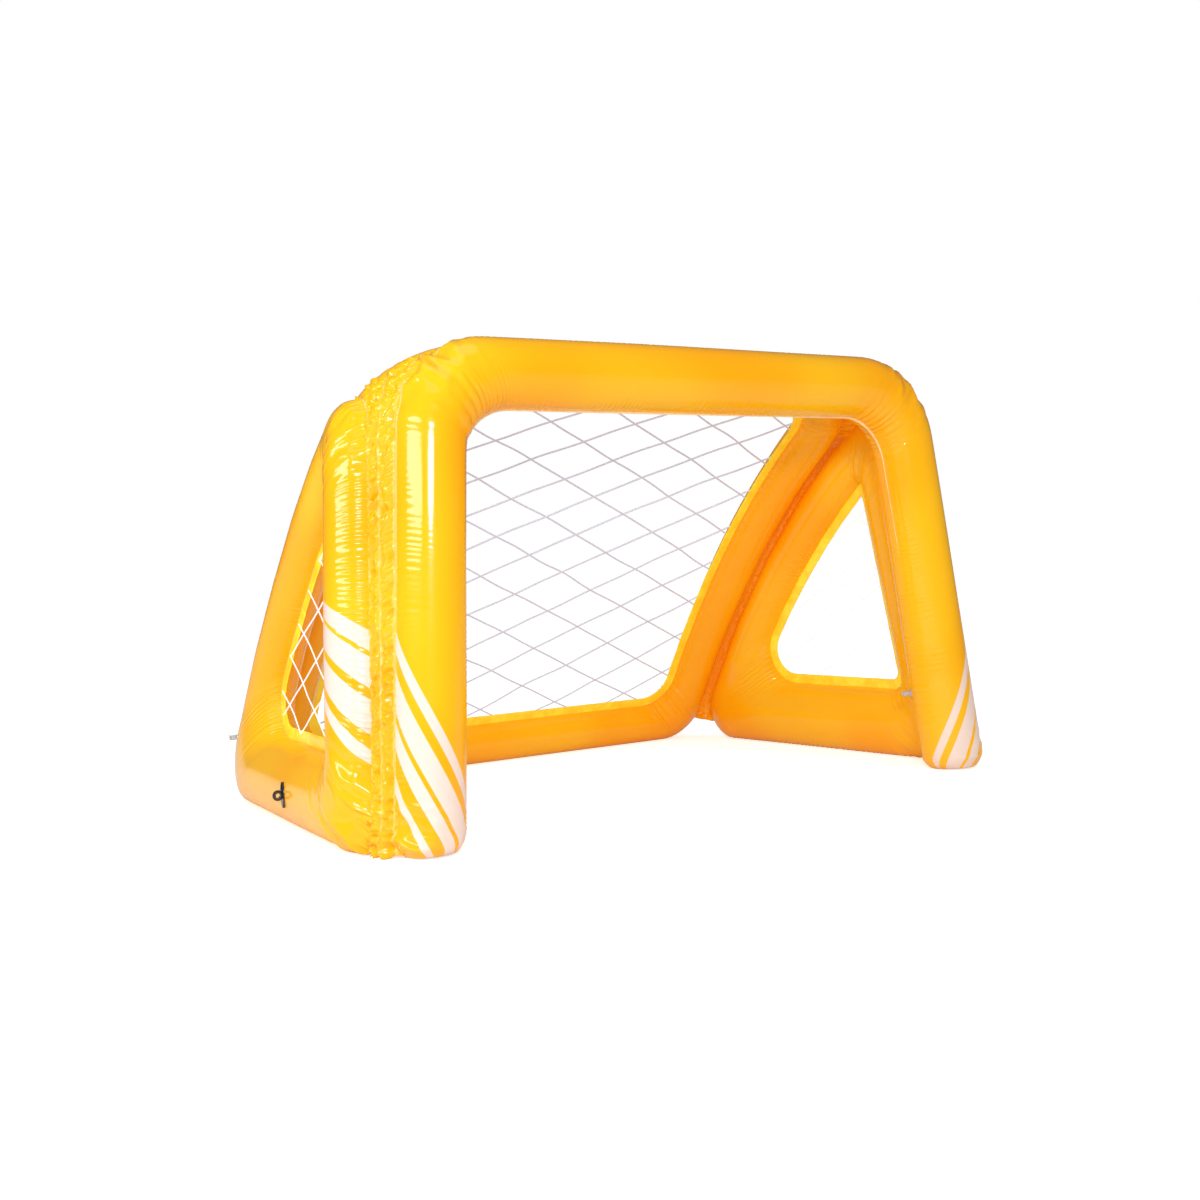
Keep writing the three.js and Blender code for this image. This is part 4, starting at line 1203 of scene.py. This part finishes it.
def patch_mesh():
    bm = bmesh.new()
    bmesh.ops.create_circle(bm, cap_ends=True, segments=PATCH_STEPS, radius=1)
    for vert in bm.verts:
        vert.co.x = math.copysign(PATCH_WIDTH / 2 * (1 - vert.co.y ** 2), vert.co.x)
        vert.co.y *= PATCH_LENGTH / 2
    made = bmesh.ops.extrude_face_region(bm, geom=list(bm.faces))
    top = [item for item in made["geom"] if isinstance(item, bmesh.types.BMVert)]
    bmesh.ops.translate(bm, verts=top, vec=(0, 0, PATCH_THICK + PATCH_ROOT))
    bmesh.ops.translate(bm, verts=bm.verts, vec=(0, 0, -PATCH_ROOT))
    return closed_up(bm)


def eyelet(name, black, steel):
    row = min((row for row in side_rows[name] if row["centre"].z < SIDE_BASE_TUBE),
              key=lambda row: abs(row["centre"].y - EYELET_BACK + DEPTH / 2))
    stand = skin_frame(row, EYELET_TURN, Vector((0, 1, 0)))
    lug = stand @ Matrix.Translation((0, 0, LUG_STAND)) @ Matrix.Rotation(math.pi / 2, 4, "Y")
    eye, barrel, rim = RING_BORE / 2, RING_BORE / 2 + RING_WALL, RING_RIM / 2
    half = LUG_THICK / 2
    seat, face = half + GAP, half + GAP + RING_RIM_THICK
    disc = spun([(barrel + GAP, -half), (LUG / 2, -half), (LUG / 2, half), (barrel + GAP, half)], LUG_ROUND)
    bmesh.ops.transform(disc, matrix=lug, verts=disc.verts)
    patch = patch_mesh()
    bmesh.ops.transform(patch, matrix=stand, verts=patch.verts)
    lent = bpy.data.meshes.new("lug")
    disc.to_mesh(lent)
    disc.free()
    patch.from_mesh(lent)
    bpy.data.meshes.remove(lent)
    tab = placed(f"eyelet_{name}", patch, Matrix(), black, "goal", "black_vinyl", f"tether_tab_{name}")
    tab.modifiers.new("soft_edges", "BEVEL").width = SOFT_EDGE
    ring = spun([(eye, -face), (rim, -face), (rim, -seat), (barrel, -seat),
                 (barrel, seat), (rim, seat), (rim, face), (eye, face)], RING_ROUND)
    placed(f"eyelet_ring_{name}", ring, lug, steel, "goal", "steel", f"tether_grommet_{name}")
    middle = sum(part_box(f"tether_grommet_{name}"), Vector()) / 2
    return (middle - lug.translation).length


black, steel = black_film(), plated()
for name in ("left", "right"):
    print(name, "eyelet is", round(eyelet(name, black, steel) * 1000, 2), "mm from its solid's middle")

# %% [markdown]
# ## Floor, light and background
# A pale floor carries the shadow, and glows for rays from the camera so that it meets the white
# background. For rays from the camera or through clear film the world is white. Shiny film mirrors a
# dimmer room, so that its colour stays deep. Soft lamps give the long highlights on the tubes.

# %% Stage
FLOOR_SIZE = 40.0
GLOW, SKY, MIRRORED_SKY = 0.61, 0.48, 0.10
CAMERA_RAY, GLOSSY_RAY, CLEAR_RAY = 0, 3, 6
LEFT_CORNER = Vector((-0.6, -0.4, 0.5))
LAMP_DISTANCE = 3.0
WHITE = (1, 1, 1, 1)


def watched(start):
    """1 for rays from the camera or through clear film, otherwise 0."""
    rays = [start.node("ShaderNodeLightPath", out=k) for k in (CAMERA_RAY, CLEAR_RAY)]
    return (rays[0] + rays[1]).clamped()


def stage():
    bm = bmesh.new()
    bmesh.ops.create_grid(bm, x_segments=1, y_segments=1, size=FLOOR_SIZE)
    made, shader, start = material("pale_floor", Roughness=0.9, Specular_IOR_Level=0.0,
                                   Emission_Strength=1.0)
    shader.inputs["Base Color"].default_value = (0.9, 0.9, 0.9, 1)
    feed(watched(start).mixed((0, 0, 0, 1), (GLOW, GLOW, GLOW, 1)), shader, "Emission Color")
    new_object("floor", bm, made)
    world = bpy.data.worlds.new("studio")
    bpy.context.scene.world = world
    world.use_nodes = True
    tree = world.node_tree
    start = Wire(tree, None)
    soft, white, dim = (start.node("ShaderNodeBackground", {"Color": WHITE, "Strength": strength})
                        for strength in (SKY, 1.0, MIRRORED_SKY))
    glossy = start.node("ShaderNodeLightPath", out=GLOSSY_RAY)
    lit = start.node("ShaderNodeMixShader", {0: glossy, 1: soft, 2: dim})
    both = start.node("ShaderNodeMixShader", {0: watched(start), 1: lit, 2: white})
    tree.links.new(both.socket, tree.nodes["World Output"].inputs["Surface"])


def soft_lamp(name, place, aim, size, radiance):
    """An oval soft lamp, its power worked out from how bright its face is."""
    data = bpy.data.lights.new(name, "AREA")
    data.shape, data.size, data.size_y = "ELLIPSE", *size
    data.energy = math.pi * size[0] * size[1] * radiance * math.pi / 4
    lamp = linked(name, data)
    lamp.location = place
    lamp.rotation_euler = (Vector(aim) - Vector(place)).to_track_quat("-Z", "Y").to_euler()


def round_the_corner(turn, height):
    """A place at the lamps' distance from the goal's left front corner."""
    angle = math.radians(turn)
    return (LEFT_CORNER.x - math.sin(angle) * LAMP_DISTANCE, LEFT_CORNER.y - math.cos(angle) * LAMP_DISTANCE,
            height)


stage()
soft_lamp("left_box", round_the_corner(78, 1.56), LEFT_CORNER, (3.20, 0.62), 10)
soft_lamp("front_box", round_the_corner(22, 1.54), LEFT_CORNER, (0.90, 0.52), 36)
soft_lamp("top", (-0.6, -0.6, 3.0), (0, 0, 0.3), (2.2, 2.2), 0.9)
bpy.context.scene.view_settings.view_transform = "Standard"
